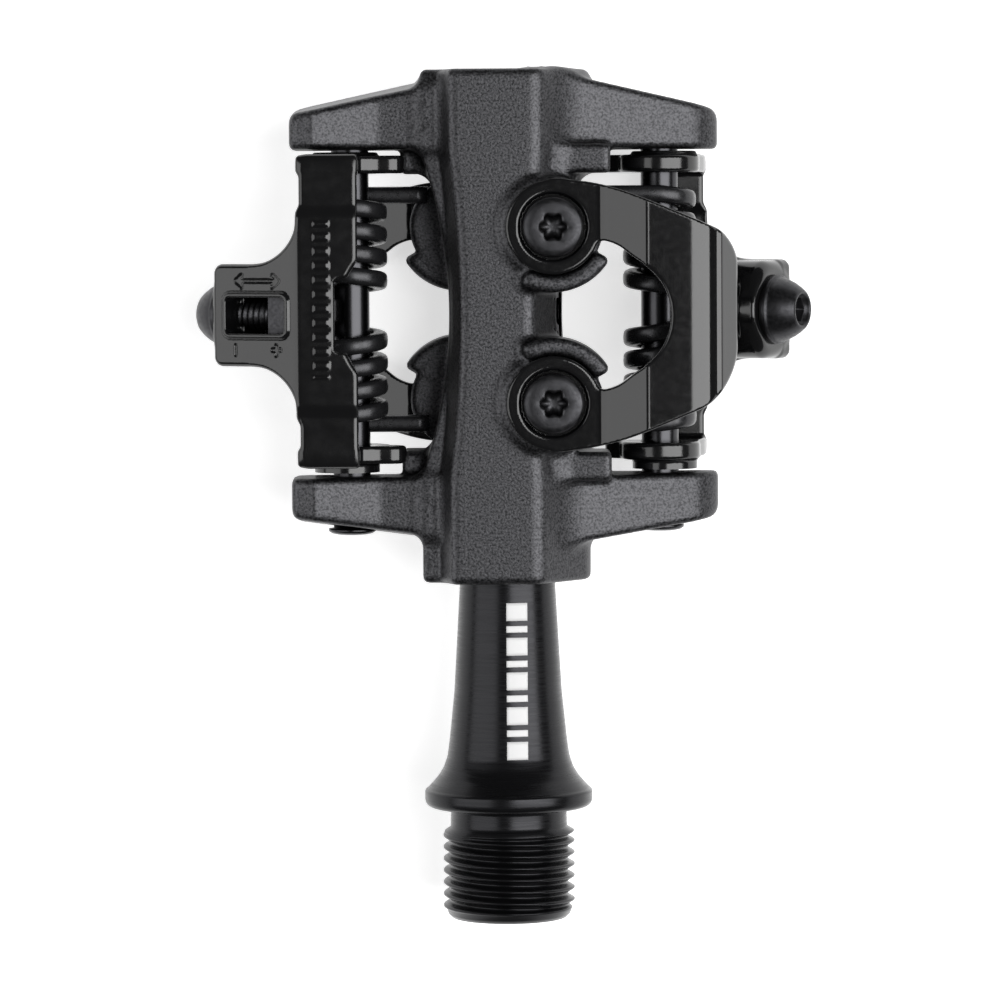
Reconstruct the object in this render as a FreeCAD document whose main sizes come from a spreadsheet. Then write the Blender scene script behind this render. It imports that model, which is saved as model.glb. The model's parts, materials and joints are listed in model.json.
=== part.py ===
import FreeCAD, Part
import math
import os
import Sketcher

# A two-sided clipless bicycle pedal.
#
# Frame, in millimetres: the spindle lies along Y with its thread towards -Y and the origin where the
# flange meets the crank arm. X runs across the pedal and Z is up. The pedal is the same on both sides:
# everything on the top side is there again under the pedal, turned half a turn about the spindle.

App = FreeCAD
PAST = 1.0  # how far a cutting tool runs past the face that it opens
FAR = 30.0  # from the spindle axis to beyond any piece, and from the platform's centre too
SPRING_POINTS = 12  # points on each turn of a spring's centre line

# name: (value, what it is)
DIMENSIONS = {
    # spindle
    "thread_radius": (7.1, "crest radius of the 9/16 inch pedal thread"),
    "thread_length": (12.0, "flange face to the end of the thread"),
    "thread_chamfer": (0.9, "lead chamfer at the end of the thread"),
    "relief_radius": (6.3, "neck between thread and flange"),
    "relief_length": (1.8, "length of that neck"),
    "root_bevel": (1.0, "bevel in the corner between neck and flange"),
    "flange_radius": (9.05, "spindle flange"),
    "flange_thickness": (1.3, "its cylindrical rim"),
    "flange_bevel": (0.8, "width of the bevel round the flange's crank side"),
    "flange_back_bevel": (0.5, "bevel round the flange's outboard side"),
    "hex_flats": (8.0, "across the flats of the hex socket in the thread end"),
    "hex_depth": (7.0, "depth of the hex socket"),
    "shank_root_radius": (6.45, "spindle just outboard of the flange cone"),
    "shank_tip_radius": (5.15, "spindle where it enters the barrel"),
    "flange_cone_length": (4.6, "from the flange's rim to the shank"),
    "flange_cone_hollow": (0.8, "the hollow cone off the shank, at two fifths of its length"),
    "shank_tip_length": (0.5, "straight end of the shank outside the barrel"),
    "inner_journal_radius": (4.75, "spindle inside the bushing"),
    "journal_step": (0.3, "spindle between the bearings, below the inner journal"),
    "outer_journal_radius": (3.0, "spindle inside the ball bearing"),
    "nut_thread_radius": (2.5, "threaded end that carries the lock nut"),
    "spindle_stub": (0.6, "spindle beyond its lock nut"),
    # body
    "barrel_start": (24.6, "inboard end of the barrel"),
    "barrel_end": (79.3, "outboard end of the barrel"),
    "barrel_half_width": (9.0, "half width of the barrel at its ends"),
    "barrel_half_height": (8.5, "half height of the barrel"),
    "barrel_flat_left": (5.5, "left edge of the flat top"),
    "barrel_flat_right": (3.6, "right edge of the flat top"),
    "barrel_side_high": (5.0, "upper end of the left side wall"),
    "barrel_side_low": (1.5, "lower end of the left side wall"),
    "bore_radius": (5.0, "barrel's bore between bushing and bearing"),
    "waist_half_width": (6.05, "half width of the barrel halfway along the pedal"),
    "platform_centre": (53.4, "halfway between the wings"),
    "wing_gap_half": (17.35, "platform centre to the inner face of a wing"),
    "wing_tip_reach": (23.2, "spindle axis to a wing's tip"),
    "wing_inner": (4.0, "spindle axis to a wing's inner end, inside the barrel"),
    "wing_corner": (1.2, "cut corners at a wing's tip"),
    "outboard_wing_root": (6.9, "outboard wing's thickness at the barrel"),
    "outboard_wing_tip": (4.1, "outboard wing's thickness at its tip"),
    "inboard_wing_root": (6.5, "inboard wing's thickness at the barrel"),
    "inboard_wing_tip": (4.7, "inboard wing's thickness at its tip"),
    "wing_top_root": (5.5, "top of the rising wing at the barrel"),
    "wing_top_tip": (7.0, "top of the rising wing near its tip"),
    "wing_bottom_root": (4.0, "underside of the rising wing at the barrel, below the spindle axis"),
    "wing_bottom_tip": (0.3, "underside of the rising wing at its tip, above the axis"),
    "wing_bend": (14.0, "where the rising wing starts to rise"),
    "wing_crest": (20.0, "where the rising wing is highest"),
    "wing_tip_fall": (0.6, "rising wing's tip below its highest place"),
    "stop_reach": (11.2, "spindle axis to the end of a jaw stop"),
    "stop_width": (2.5, "width of a jaw stop, from the wing inwards"),
    "stop_height": (2.4, "top of a jaw stop above the spindle axis"),
    "stop_inner": (6.0, "spindle axis to a jaw stop's inner end"),
    "stop_low": (6.0, "underside of a jaw stop below the spindle axis"),
    # claw seats
    "claw_screw_x": (5.0, "claw screws from the spindle axis"),
    "claw_screw_half_pitch": (9.3, "half the distance between the two claw screws"),
    "claw_centre_shift": (-0.15, "claws from the platform centre"),
    "seat_radius": (5.35, "round seat below each ear of the claw"),
    "seat_height": (9.0, "seat face above the spindle axis"),
    "seat_underside": (3.0, "underside of the seat's boss"),
    "fence_radius": (6.9, "outer radius of the raised fence round an ear"),
    "fence_gap": (0.15, "between an ear and its fence"),
    "fence_height": (1.6, "fence above the seat"),
    "fence_first": (32.0, "degrees from outwards to the near end of a fence"),
    "fence_last": (120.0, "degrees from outwards to the far end of a fence"),
    # front claw
    "claw_thickness": (2.0, "sheet thickness of the claw"),
    "claw_ear_radius": (5.0, "round ears of the claw"),
    "claw_bend_x": (10.4, "where the claw starts to rise"),
    "claw_shoulder_x": (11.2, "where its outline starts to taper"),
    "claw_hook_start": (15.0, "where its hook plate starts"),
    "claw_hook_end": (21.0, "where it turns down"),
    "claw_front_x": (24.5, "front edge of the claw"),
    "claw_rise": (2.05, "hook plate above the ears"),
    "claw_drop": (4.4, "front edge below the hook plate"),
    "claw_ear_half_width": (14.2, "half width at the ears"),
    "claw_mid_half_width": (12.4, "half width at the start of the hook plate"),
    "claw_corner_x": (22.4, "outline's front corner from the spindle axis"),
    "claw_front_half_width": (9.8, "half width at that corner"),
    "claw_nose_half_width": (6.6, "half width of the front edge"),
    "claw_mouth_radius": (6.3, "round mouth that holds the cleat"),
    "claw_mouth_reach": (17.35, "deepest point of the mouth"),
    "claw_throat_half_width": (7.9, "half width of the throat between the ears"),
    "claw_throat_x": (11.2, "where the throat starts to narrow"),
    "claw_throat_end": (5.2, "half width of the throat at the mouth"),
    "screw_head_radius": (3.2, "claw screw head"),
    "screw_head_height": (1.9, "claw screw head height"),
    "screw_drive_radius": (1.6, "round stand-in of the star recess"),
    "screw_drive_depth": (1.2, "depth of the star recess"),
    "screw_sink_radius": (3.6, "counterbore in the claw"),
    "screw_sink_depth": (0.9, "depth of that counterbore"),
    "screw_radius": (2.0, "claw screw shank, M4"),
    "screw_length": (5.8, "shank length below the head"),
    "screw_head_depth": (1.0, "how far the shank runs up into its head"),
    "screw_gap": (0.1, "clearance round the shank in the claw"),
    "screw_end_gap": (0.2, "room below the claw screw's end"),
    # rear jaw
    "pin_x": (16.6, "jaw pin from the spindle axis"),
    "pin_z": (2.0, "jaw pin above the spindle axis"),
    "pin_radius": (2.0, "jaw pin"),
    "pin_head_radius": (2.6, "head of the jaw pin"),
    "pin_head_height": (0.6, "head height"),
    "pin_blind_depth": (3.0, "how far the pin enters the outboard wing"),
    "pin_end_gap": (0.3, "room beyond the pin's end"),
    "running_gap": (0.04, "radial clearance of a running fit"),
    "seated_gap": (0.02, "clearance of a piece that is pressed or screwed home"),
    "jaw_top": (12.6, "top of the jaw above the spindle axis"),
    "jaw_thickness": (2.1, "thickness of the jaw's plate"),
    "jaw_lip_x": (15.6, "hooking edge of the jaw from the spindle axis"),
    "jaw_lip_bevel": (0.6, "bevel under the hooking edge"),
    "jaw_back_x": (22.0, "where the jaw slopes down"),
    "jaw_corner": (0.9, "cut corners of the jaw's plate"),
    "jaw_tail_length": (10.4, "length of the sloping tail"),
    "jaw_tail_slope": (30.0, "degrees that the tail slopes down"),
    "jaw_outboard": (16.8, "jaw's outboard side from the platform centre"),
    "jaw_inboard": (16.0, "jaw's inboard side from the platform centre"),
    "jaw_arm_width": (1.9, "thickness of the jaw's side arms"),
    "jaw_lug_radius": (4.1, "round lug about the pin"),
    "jaw_arm_reach": (10.7, "inner end of a side arm from the spindle axis"),
    "jaw_arm_gap": (0.1, "between a side arm and its stop"),
    "jaw_arm_tip_height": (2.6, "height of a side arm at its end"),
    "jaw_arm_root_height": (5.2, "height of a side arm below the hooking edge"),
    "jaw_tail_half_width": (5.2, "half width of the tail"),
    "jaw_tail_depth": (7.4, "depth of the tail's channel"),
    "jaw_tail_wall": (1.2, "side walls of the tail's channel"),
    "jaw_end_wall": (2.2, "wall that the bolt's head pulls on"),
    "jaw_wall_front": (1.2, "side walls start this far before the bend"),
    "jaw_wall_front_height": (3.1, "height of the side walls there, from the plate's top"),
    "jaw_wall_low_start": (1.5, "lower edge of the side walls starts this far down the slope"),
    "jaw_wall_low_depth": (5.5, "depth of the side walls there"),
    "jaw_flank_radius": (6.0, "hollow flanks between jaw and tail"),
    "jaw_mouth_radius": (6.2, "round mouth in the jaw"),
    "jaw_mouth_depth": (2.1, "depth of that mouth"),
    "window_half_width": (1.9, "half width of the window in the tail"),
    "window_start": (1.4, "window's upper end from the top of the slope"),
    "window_end": (8.7, "window's lower end from the top of the slope"),
    # tension bolt
    "bolt_radius": (1.75, "tension bolt"),
    "bolt_depth": (4.1, "bolt axis below the tail's face"),
    "bolt_head_radius": (3.75, "bolt head"),
    "bolt_nose_radius": (2.3, "end of the head's cone"),
    "bolt_rim_height": (1.2, "straight rim of the head"),
    "bolt_head_height": (3.6, "bolt head height"),
    "bolt_socket_flats": (3.4, "across the flats of its hex socket"),
    "bolt_socket_depth": (2.2, "depth of that socket"),
    "bolt_length": (10.0, "shank length inside the jaw"),
    "nut_length": (2.6, "tension nut along the bolt"),
    "nut_start": (2.4, "tension nut from the top of the slope, at the lightest setting"),
    "nut_side_gap": (0.15, "between the tension nut and the channel"),
    "nut_top_gap": (0.2, "between the tension nut and the tail's face plate"),
    "nut_low_gap": (0.6, "tension nut's underside above the channel's lower edge"),
    # springs
    "wire": (1.8, "spring wire"),
    "coil_radius": (3.05, "spring coil, to the middle of the wire"),
    "coil_pitch": (2.43, "distance between turns"),
    "spring_inner": (1.96, "innermost turn from the middle of the pair"),
    "spring_turns": (4.25, "turns of each spring"),
    "spring_shift": (0.3, "middle of the spring pair from the platform centre"),
    "spring_leg_reach": (8.3, "end of the outer leg from the spindle axis"),
    "spring_inner_leg": (3.6, "inner leg, up from the coil to the nut"),
    # bearings
    "bushing_wall": (1.0, "inboard bushing"),
    "bushing_length": (12.0, "inboard bushing"),
    "seal_length": (3.0, "lip seal"),
    "seal_radius": (6.6, "lip seal, outside"),
    "bearing_radius": (6.5, "outboard ball bearing, outside"),
    "bearing_width": (5.0, "outboard ball bearing"),
    "race_wall": (0.9, "wall of each bearing race"),
    "ball_count": (7.0, "balls in the bearing"),
    "bearing_start": (65.6, "inboard face of the ball bearing"),
    "nut_radius": (4.6, "lock nut, across corners"),
    "nut_height": (3.6, "lock nut"),
    "washer_radius": (4.8, "washer below the lock nut"),
    "washer_height": (0.8, "washer below the lock nut"),
    "cap_length": (2.4, "end cap"),
    "cap_radius": (6.8, "end cap"),
    "cap_slot": (5.0, "across the flats of the end cap's hex"),
    "cap_recess": (0.3, "end cap below the barrel's end"),
    "cap_shoulder": (0.4, "room inboard of the end cap"),
    "cap_key_floor": (1.2, "floor of the cap's hex from its inboard face"),
    "oring_start": (0.9, "O-ring groove from the cap's inboard face"),
    "oring_wire": (1.0, "end cap's O-ring"),
    "oring_gap": (0.05, "room beside the O-ring in its groove"),
}

doc = App.newDocument("clipless_pedal")
sheet = doc.addObject("Spreadsheet::Sheet", "Dims")
for row, (alias, (number, note)) in enumerate(DIMENSIONS.items(), start=1):
    sheet.set(f"A{row}", alias)
    sheet.set(f"B{row}", str(number))
    sheet.setAlias(f"B{row}", alias)
    sheet.set(f"C{row}", note)
doc.recompute()


class Size:
    """A number together with the expression that keeps it tied to the spreadsheet."""

    def __init__(self, number, text):
        self.number = number
        self.text = text

    def __add__(self, other):
        other = size(other)
        return Size(self.number + other.number, f"({self.text} + {other.text})")

    def __sub__(self, other):
        other = size(other)
        return Size(self.number - other.number, f"({self.text} - {other.text})")

    def __mul__(self, other):
        other = size(other)
        return Size(self.number * other.number, f"({self.text} * {other.text})")

    def __truediv__(self, other):
        other = size(other)
        return Size(self.number / other.number, f"({self.text} / {other.text})")

    def __radd__(self, other):
        return size(other) + self

    def __rsub__(self, other):
        return size(other) - self

    def __rmul__(self, other):
        return size(other) * self

    def __neg__(self):
        return Size(-self.number, f"(0 - {self.text})")


def size(value):
    return value if isinstance(value, Size) else Size(float(value), f"{float(value):g}")


def cosine(angle):
    return Size(math.cos(math.radians(angle.number)), f"cos({angle.text})")


def sine(angle):
    return Size(math.sin(math.radians(angle.number)), f"sin({angle.text})")


def square_root(value):
    return Size(math.sqrt(value.number), f"sqrt({value.text})")


def tangent(angle):
    return sine(angle) / cosine(angle)


def dim(alias):
    return Size(float(sheet.get(alias)), f"Dims.{alias}")


def bind(obj, prop, value):
    obj.setExpression(prop, size(value).text)


def put(obj, x=0, y=0, z=0):
    """Ties an object's place to the spreadsheet."""
    for letter, value in zip("xyz", (x, y, z)):
        bind(obj, f"Placement.Base.{letter}", value)


AXES = {"X": App.Vector(1, 0, 0), "Y": App.Vector(0, 1, 0), "Z": App.Vector(0, 0, 1)}
# the rotation that stands a sketch's or a cylinder's own Z along the named axis
TURNS = {
    "X": App.Rotation(AXES["Y"], 90),
    "Y": App.Rotation(AXES["X"], -90),
    "Z": App.Rotation(),
}


def name_of(kind):
    name_of.count += 1
    return f"{kind}_{name_of.count}"


name_of.count = 0


def box(low, high):
    """A box between two corners."""
    obj = doc.addObject("Part::Box", name_of("box"))
    put(obj, *low)
    for prop, a, b in zip(("Length", "Width", "Height"), low, high):
        bind(obj, prop, size(b) - a)
    return obj


def cylinder(axis, radius, start, length, across=(0, 0)):
    """A cylinder along an axis, with its other two coordinates in the order X, Y, Z."""
    obj = doc.addObject("Part::Cylinder", name_of("cylinder"))
    bind(obj, "Radius", radius)
    bind(obj, "Height", length)
    obj.Placement = App.Placement(App.Vector(), TURNS[axis])
    places = list(across)
    places.insert("XYZ".index(axis), start)
    put(obj, *places)
    return obj


def draw(sketch, points):
    """Draws a closed outline of straight runs whose corners are tied to the spreadsheet."""
    corners = [(size(a), size(b)) for a, b in points]
    count = len(corners)
    vectors = [App.Vector(a.number, b.number, 0) for a, b in corners]
    for i in range(count):
        sketch.addGeometry(Part.LineSegment(vectors[i], vectors[(i + 1) % count]), False)
    for i in range(count):
        sketch.addConstraint(Sketcher.Constraint("Coincident", i, 2, (i + 1) % count, 1))
    for i, (a, b) in enumerate(corners):
        for kind, value, line in (("DistanceX", a, -2), ("DistanceY", b, -1)):
            if value.number == 0:
                sketch.addConstraint(Sketcher.Constraint("PointOnObject", i, 1, line))
                continue
            number = sketch.addConstraint(Sketcher.Constraint(kind, -1, 1, i, 1, value.number))
            sketch.setExpression(f"Constraints[{number}]", value.text)


def outline(points, plane="XY"):
    """An outline as a sketch of its own."""
    sketch = doc.addObject("Sketcher::SketchObject", name_of("outline"))
    if plane == "XZ":
        sketch.Placement = App.Placement(App.Vector(), App.Rotation(AXES["X"], 90))
    draw(sketch, points)
    return sketch


def prism(points, start, length, plane="XY"):
    """An outline given a length: along +Z from the XY plane, along +Y from the XZ plane."""
    sketch = outline(points, plane)
    bind(sketch, "Placement.Base." + ("z" if plane == "XY" else "y"), start)
    obj = doc.addObject("Part::Extrusion", name_of("prism"))
    obj.Base = sketch
    obj.DirMode = "Custom"
    obj.Dir = AXES["Z" if plane == "XY" else "Y"]
    bind(obj, "LengthFwd", length)
    obj.Solid = True
    return obj


def fuse(*shapes):
    obj = doc.addObject("Part::MultiFuse", name_of("fuse"))
    obj.Shapes = list(shapes)
    return obj


def common(*shapes):
    obj = doc.addObject("Part::MultiCommon", name_of("common"))
    obj.Shapes = list(shapes)
    return obj


def cut(base, *tools):
    obj = doc.addObject("Part::Cut", name_of("cut"))
    obj.Base = base
    obj.Tool = tools[0] if len(tools) == 1 else fuse(*tools)
    return obj


def hexagon(flats):
    """Corners of a hexagon about the origin, from the distance across its flats."""
    corner = flats / math.sqrt(3)
    half = flats / 2
    return [(corner, 0), (corner / 2, half), (-(corner / 2), half),
            (-corner, 0), (-(corner / 2), -half), (corner / 2, -half)]


def turned(label, profile):
    """A PartDesign body: a profile of (radius, place along Y) turned about the spindle axis."""
    body = doc.addObject("PartDesign::Body", label)
    plane = next(f for f in body.Origin.OriginFeatures if f.Role == "XY_Plane")
    sketch = body.newObject("Sketcher::SketchObject", label + "_profile")
    sketch.AttachmentSupport = [(plane, "")]
    sketch.MapMode = "FlatFace"
    draw(sketch, profile)
    turn = body.newObject("PartDesign::Revolution", label + "_turned")
    turn.Profile = sketch
    turn.ReferenceAxis = (sketch, ["V_Axis"])
    turn.Angle = 360
    body.Tip = turn
    return body


PARTS = []
HALF_TURN = App.Rotation(AXES["Y"], 180)


def part(label, obj, underneath=False):
    """Names a finished sub-part. The underside's pieces are turned half a turn about the spindle."""
    obj.Label = label
    if underneath:
        obj.Placement = App.Placement(App.Vector(), HALF_TURN)
    PARTS.append(obj)
    return obj


# shared places ------------------------------------------------------------------------------------
centre = dim("platform_centre")
claw_centre = centre + dim("claw_centre_shift")
spring_centre = centre + dim("spring_shift")
pin_x = -dim("pin_x")
pin_z = dim("pin_z")
slope_cos = cosine(dim("jaw_tail_slope"))
slope_sin = sine(dim("jaw_tail_slope"))
seal_end = dim("barrel_start") + dim("seal_length")
bushing_end = seal_end + dim("bushing_length")
bearing_end = dim("bearing_start") + dim("bearing_width")
washer_end = bearing_end + dim("washer_height")
nut_end = washer_end + dim("nut_height")
spindle_end = nut_end + dim("spindle_stub")
cap_start = dim("barrel_end") - dim("cap_length")
gap = dim("seated_gap")
run = dim("running_gap")
claw_seat_z = dim("seat_height") + gap
screw_rest = claw_seat_z + dim("claw_thickness") - dim("screw_sink_depth") + gap


def spindle():
    rim = dim("flange_thickness") + dim("flange_bevel") / 2
    thread, relief, flange = dim("thread_radius"), dim("relief_radius"), dim("flange_radius")
    between = dim("inner_journal_radius") - dim("journal_step")
    profile = [
        (0, -dim("thread_length")),
        (thread - dim("thread_chamfer"), -dim("thread_length")),
        (thread, dim("thread_chamfer") - dim("thread_length")),
        (thread, -dim("relief_length")),
        (relief, -dim("relief_length")),
        (relief, -dim("root_bevel")),
        (relief + dim("root_bevel"), 0),
        (flange - dim("flange_bevel"), 0),
        (flange, dim("flange_bevel") / 2),
        (flange, rim),
        (flange - dim("flange_back_bevel"), rim + dim("flange_back_bevel")),
        (dim("shank_root_radius") + dim("flange_cone_hollow"),
         rim + dim("flange_cone_length") * 2 / 5),
        (dim("shank_root_radius"), rim + dim("flange_cone_length")),
        (dim("shank_tip_radius"), dim("barrel_start") - dim("shank_tip_length")),
        (dim("shank_tip_radius"), seal_end),
        (dim("inner_journal_radius"), seal_end),
        (dim("inner_journal_radius"), bushing_end),
        (between, bushing_end),
        (between, dim("bearing_start")),
        (dim("outer_journal_radius"), dim("bearing_start")),
        (dim("outer_journal_radius"), bearing_end),
        (dim("nut_thread_radius"), bearing_end),
        (dim("nut_thread_radius"), spindle_end),
        (0, spindle_end),
    ]
    blank = turned("spindle_blank", profile)
    socket = prism(hexagon(dim("hex_flats")), -dim("thread_length"), dim("hex_depth"), "XZ")
    part("spindle", cut(blank, socket))


def ring(label, inner, outer, start, length):
    part(label, turned(label, [(inner, start), (outer, start),
                               (outer, start + length), (inner, start + length)]))


def bearings():
    ring("spindle_seal", dim("shank_tip_radius") + gap, dim("seal_radius") - gap,
         dim("barrel_start"), dim("seal_length") - gap)
    inner = dim("inner_journal_radius") + run
    ring("inboard_bushing", inner, inner + dim("bushing_wall"), seal_end, dim("bushing_length"))
    start, width = dim("bearing_start"), dim("bearing_width")
    ring("bearing_inner_race", dim("outer_journal_radius") + gap,
         dim("outer_journal_radius") + dim("race_wall"), start + gap, width - gap * 2)
    ring("bearing_outer_race", dim("bearing_radius") - dim("race_wall"),
         dim("bearing_radius") - gap, start + gap, width - gap * 2)
    low = dim("outer_journal_radius") + dim("race_wall")
    high = dim("bearing_radius") - dim("race_wall")
    ball = (high - low) / 2 - gap
    balls = []
    count = int(dim("ball_count").number)
    for i in range(count):
        angle = 2 * math.pi * i / count
        sphere = doc.addObject("Part::Sphere", name_of("ball"))
        bind(sphere, "Radius", ball)
        reach = (low + high) / 2
        put(sphere, reach * math.cos(angle), start + width / 2, reach * math.sin(angle))
        balls.append(sphere)
    group = doc.addObject("Part::Compound", name_of("balls"))
    group.Links = balls
    part("bearing_balls", group)
    ring("lock_washer", dim("nut_thread_radius") + gap, dim("washer_radius"),
         bearing_end, dim("washer_height") - gap)
    nut = prism(hexagon(dim("nut_radius") * math.sqrt(3)), washer_end, dim("nut_height"), "XZ")
    part("lock_nut", cut(nut, cylinder("Y", dim("nut_thread_radius") + gap, washer_end - PAST,
                                       dim("nut_height") + PAST * 2)))
    cap = cylinder("Y", dim("cap_radius") - gap, cap_start, dim("cap_length") - dim("cap_recess"))
    floor = dim("cap_radius") - dim("oring_wire")
    groove_start = cap_start + dim("oring_start")
    groove = cut(cylinder("Y", dim("cap_radius") + PAST, groove_start,
                          dim("oring_wire") + dim("oring_gap") * 2),
                 cylinder("Y", floor, cap_start, dim("cap_length")))
    key = prism(hexagon(dim("cap_slot")), cap_start + dim("cap_key_floor"), dim("cap_length"), "XZ")
    part("end_cap", cut(cap, groove, key))
    ring("cap_o_ring", floor + gap, dim("cap_radius") - gap, groove_start + dim("oring_gap"),
         dim("oring_wire"))


def barrel():
    """The forging's eight-sided barrel, the same after half a turn about the spindle."""
    flat_left, flat_right = dim("barrel_flat_left"), dim("barrel_flat_right")
    wide, tall = dim("barrel_half_width"), dim("barrel_half_height")
    high, low = dim("barrel_side_high"), dim("barrel_side_low")
    corners = [(-flat_left, tall), (flat_right, tall), (wide, low), (wide, -high),
               (flat_left, -tall), (-flat_right, -tall), (-wide, -low), (-wide, high)]
    length = dim("barrel_end") - dim("barrel_start")
    block = prism(corners, dim("barrel_start"), length, "XZ")
    # the waist's sides are round hollows that start at the wings' inner faces
    half, waist = dim("wing_gap_half"), wide - dim("waist_half_width")
    hollow = (half * half + waist * waist) / (waist * 2)
    tools = [cylinder("Z", hollow, -FAR, FAR * 2, (side * (dim("waist_half_width") + hollow), centre))
             for side in (1, -1)]
    return cut(block, *tools)


def wing(rising, outboard):
    """One of the four arms that carry the jaw pins, tapered in plan and swept in side view."""
    turn = -1 if rising else 1
    sign = 1 if outboard else -1
    tip, inner, corner = dim("wing_tip_reach"), dim("wing_inner"), dim("wing_corner")
    side = [(inner, dim("wing_top_root")), (dim("wing_bend"), dim("wing_top_root")),
            (dim("wing_crest"), dim("wing_top_tip")), (tip, dim("wing_top_tip") - dim("wing_tip_fall")),
            (tip, dim("wing_bottom_tip")), (dim("barrel_half_width"), -dim("wing_bottom_root")),
            (inner, -dim("wing_bottom_root"))]
    profile = prism([(turn * x, -turn * z) for x, z in side], centre - FAR, size(FAR) * 2, "XZ")
    word = "outboard" if outboard else "inboard"
    root, end = dim(word + "_wing_root"), dim(word + "_wing_tip")
    plan = [(inner, 0), (tip - corner, 0), (tip, corner), (tip, end - corner), (tip - corner, end),
            (dim("barrel_half_width"), root), (inner, root)]
    near = centre + sign * dim("wing_gap_half")
    return common(profile, prism([(turn * x, near + sign * y) for x, y in plan], -FAR, FAR * 2))


def jaw_stop(left, outboard):
    """A short gusset from wing to seat. A jaw's side arm rests on it when the jaw is shut."""
    sign = 1 if outboard else -1
    near = centre + sign * (dim("wing_gap_half") - dim("stop_width"))
    far = centre + sign * (dim("wing_gap_half") + PAST)
    low, high = (near, far) if outboard else (far, near)
    if left:
        return box((-dim("stop_reach"), low, -dim("stop_low")),
                   (-dim("stop_inner"), high, dim("stop_height")))
    return box((dim("stop_inner"), low, -dim("stop_height")),
               (dim("stop_reach"), high, dim("stop_low")))


def claw_seat(sign, underneath):
    """Boss below one ear of a claw, with the raised fence on the side facing the platform's middle."""
    flip = -1 if underneath else 1
    x = flip * dim("claw_screw_x")
    y = claw_centre + sign * dim("claw_screw_half_pitch")
    low, high = dim("seat_underside"), dim("seat_height")
    tall = high - low

    def upright(radius, bottom, height):
        start = bottom if flip > 0 else -(bottom + height)
        return cylinder("Z", radius, start, height, (x, y))

    seat = upright(dim("seat_radius"), low, tall)
    fence = cut(upright(dim("fence_radius"), low, tall + dim("fence_height")),
                upright(dim("claw_ear_radius") + dim("fence_gap"), high, tall))
    reach = dim("fence_radius") * 1.5
    near, far = tangent(dim("fence_first")), tangent(dim("fence_last") - 90)
    wedge = [(0, 0), (reach, reach * near), (reach, reach), (-(reach * far), reach)]
    wedge = prism([(x + flip * a, y - sign * b) for a, b in wedge], -FAR, FAR * 2)
    return [seat, common(fence, wedge)]


def body():
    pieces = [barrel()]
    pieces += [wing(rising, outboard) for rising in (True, False) for outboard in (True, False)]
    pieces += [jaw_stop(left, outboard) for left in (True, False) for outboard in (True, False)]
    for underneath in (False, True):
        for sign in (1, -1):
            pieces += claw_seat(sign, underneath)
    start, bearing = dim("barrel_start"), dim("bearing_start")
    tools = [
        cylinder("Y", dim("seal_radius"), start - PAST, dim("seal_length") + PAST),
        cylinder("Y", dim("inner_journal_radius") + run + dim("bushing_wall") + gap,
                 start, bushing_end - start),
        cylinder("Y", dim("bore_radius"), start, bearing - start + PAST),
        cylinder("Y", dim("bearing_radius"), bearing, cap_start - bearing),
        cylinder("Y", dim("cap_radius"), cap_start - dim("cap_shoulder"), dim("cap_length") + PAST),
    ]
    pin_start = centre - dim("wing_gap_half") - dim("inboard_wing_root") - PAST
    pin_end = centre + dim("wing_gap_half") + dim("pin_blind_depth")
    top = dim("seat_height") + PAST
    end = screw_rest + dim("screw_head_depth") - dim("screw_length") - dim("screw_end_gap")
    for flip in (1, -1):
        tools.append(cylinder("Y", dim("pin_radius") + gap, pin_start, pin_end - pin_start,
                              (flip * pin_x, flip * pin_z)))
        for sign in (1, -1):
            y = claw_centre + sign * dim("claw_screw_half_pitch")
            tools.append(cylinder("Z", dim("screw_radius") + gap, end if flip > 0 else -top,
                                  top - end, (flip * dim("claw_screw_x"), y)))
    part("body", cut(fuse(*pieces), *tools))


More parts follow.
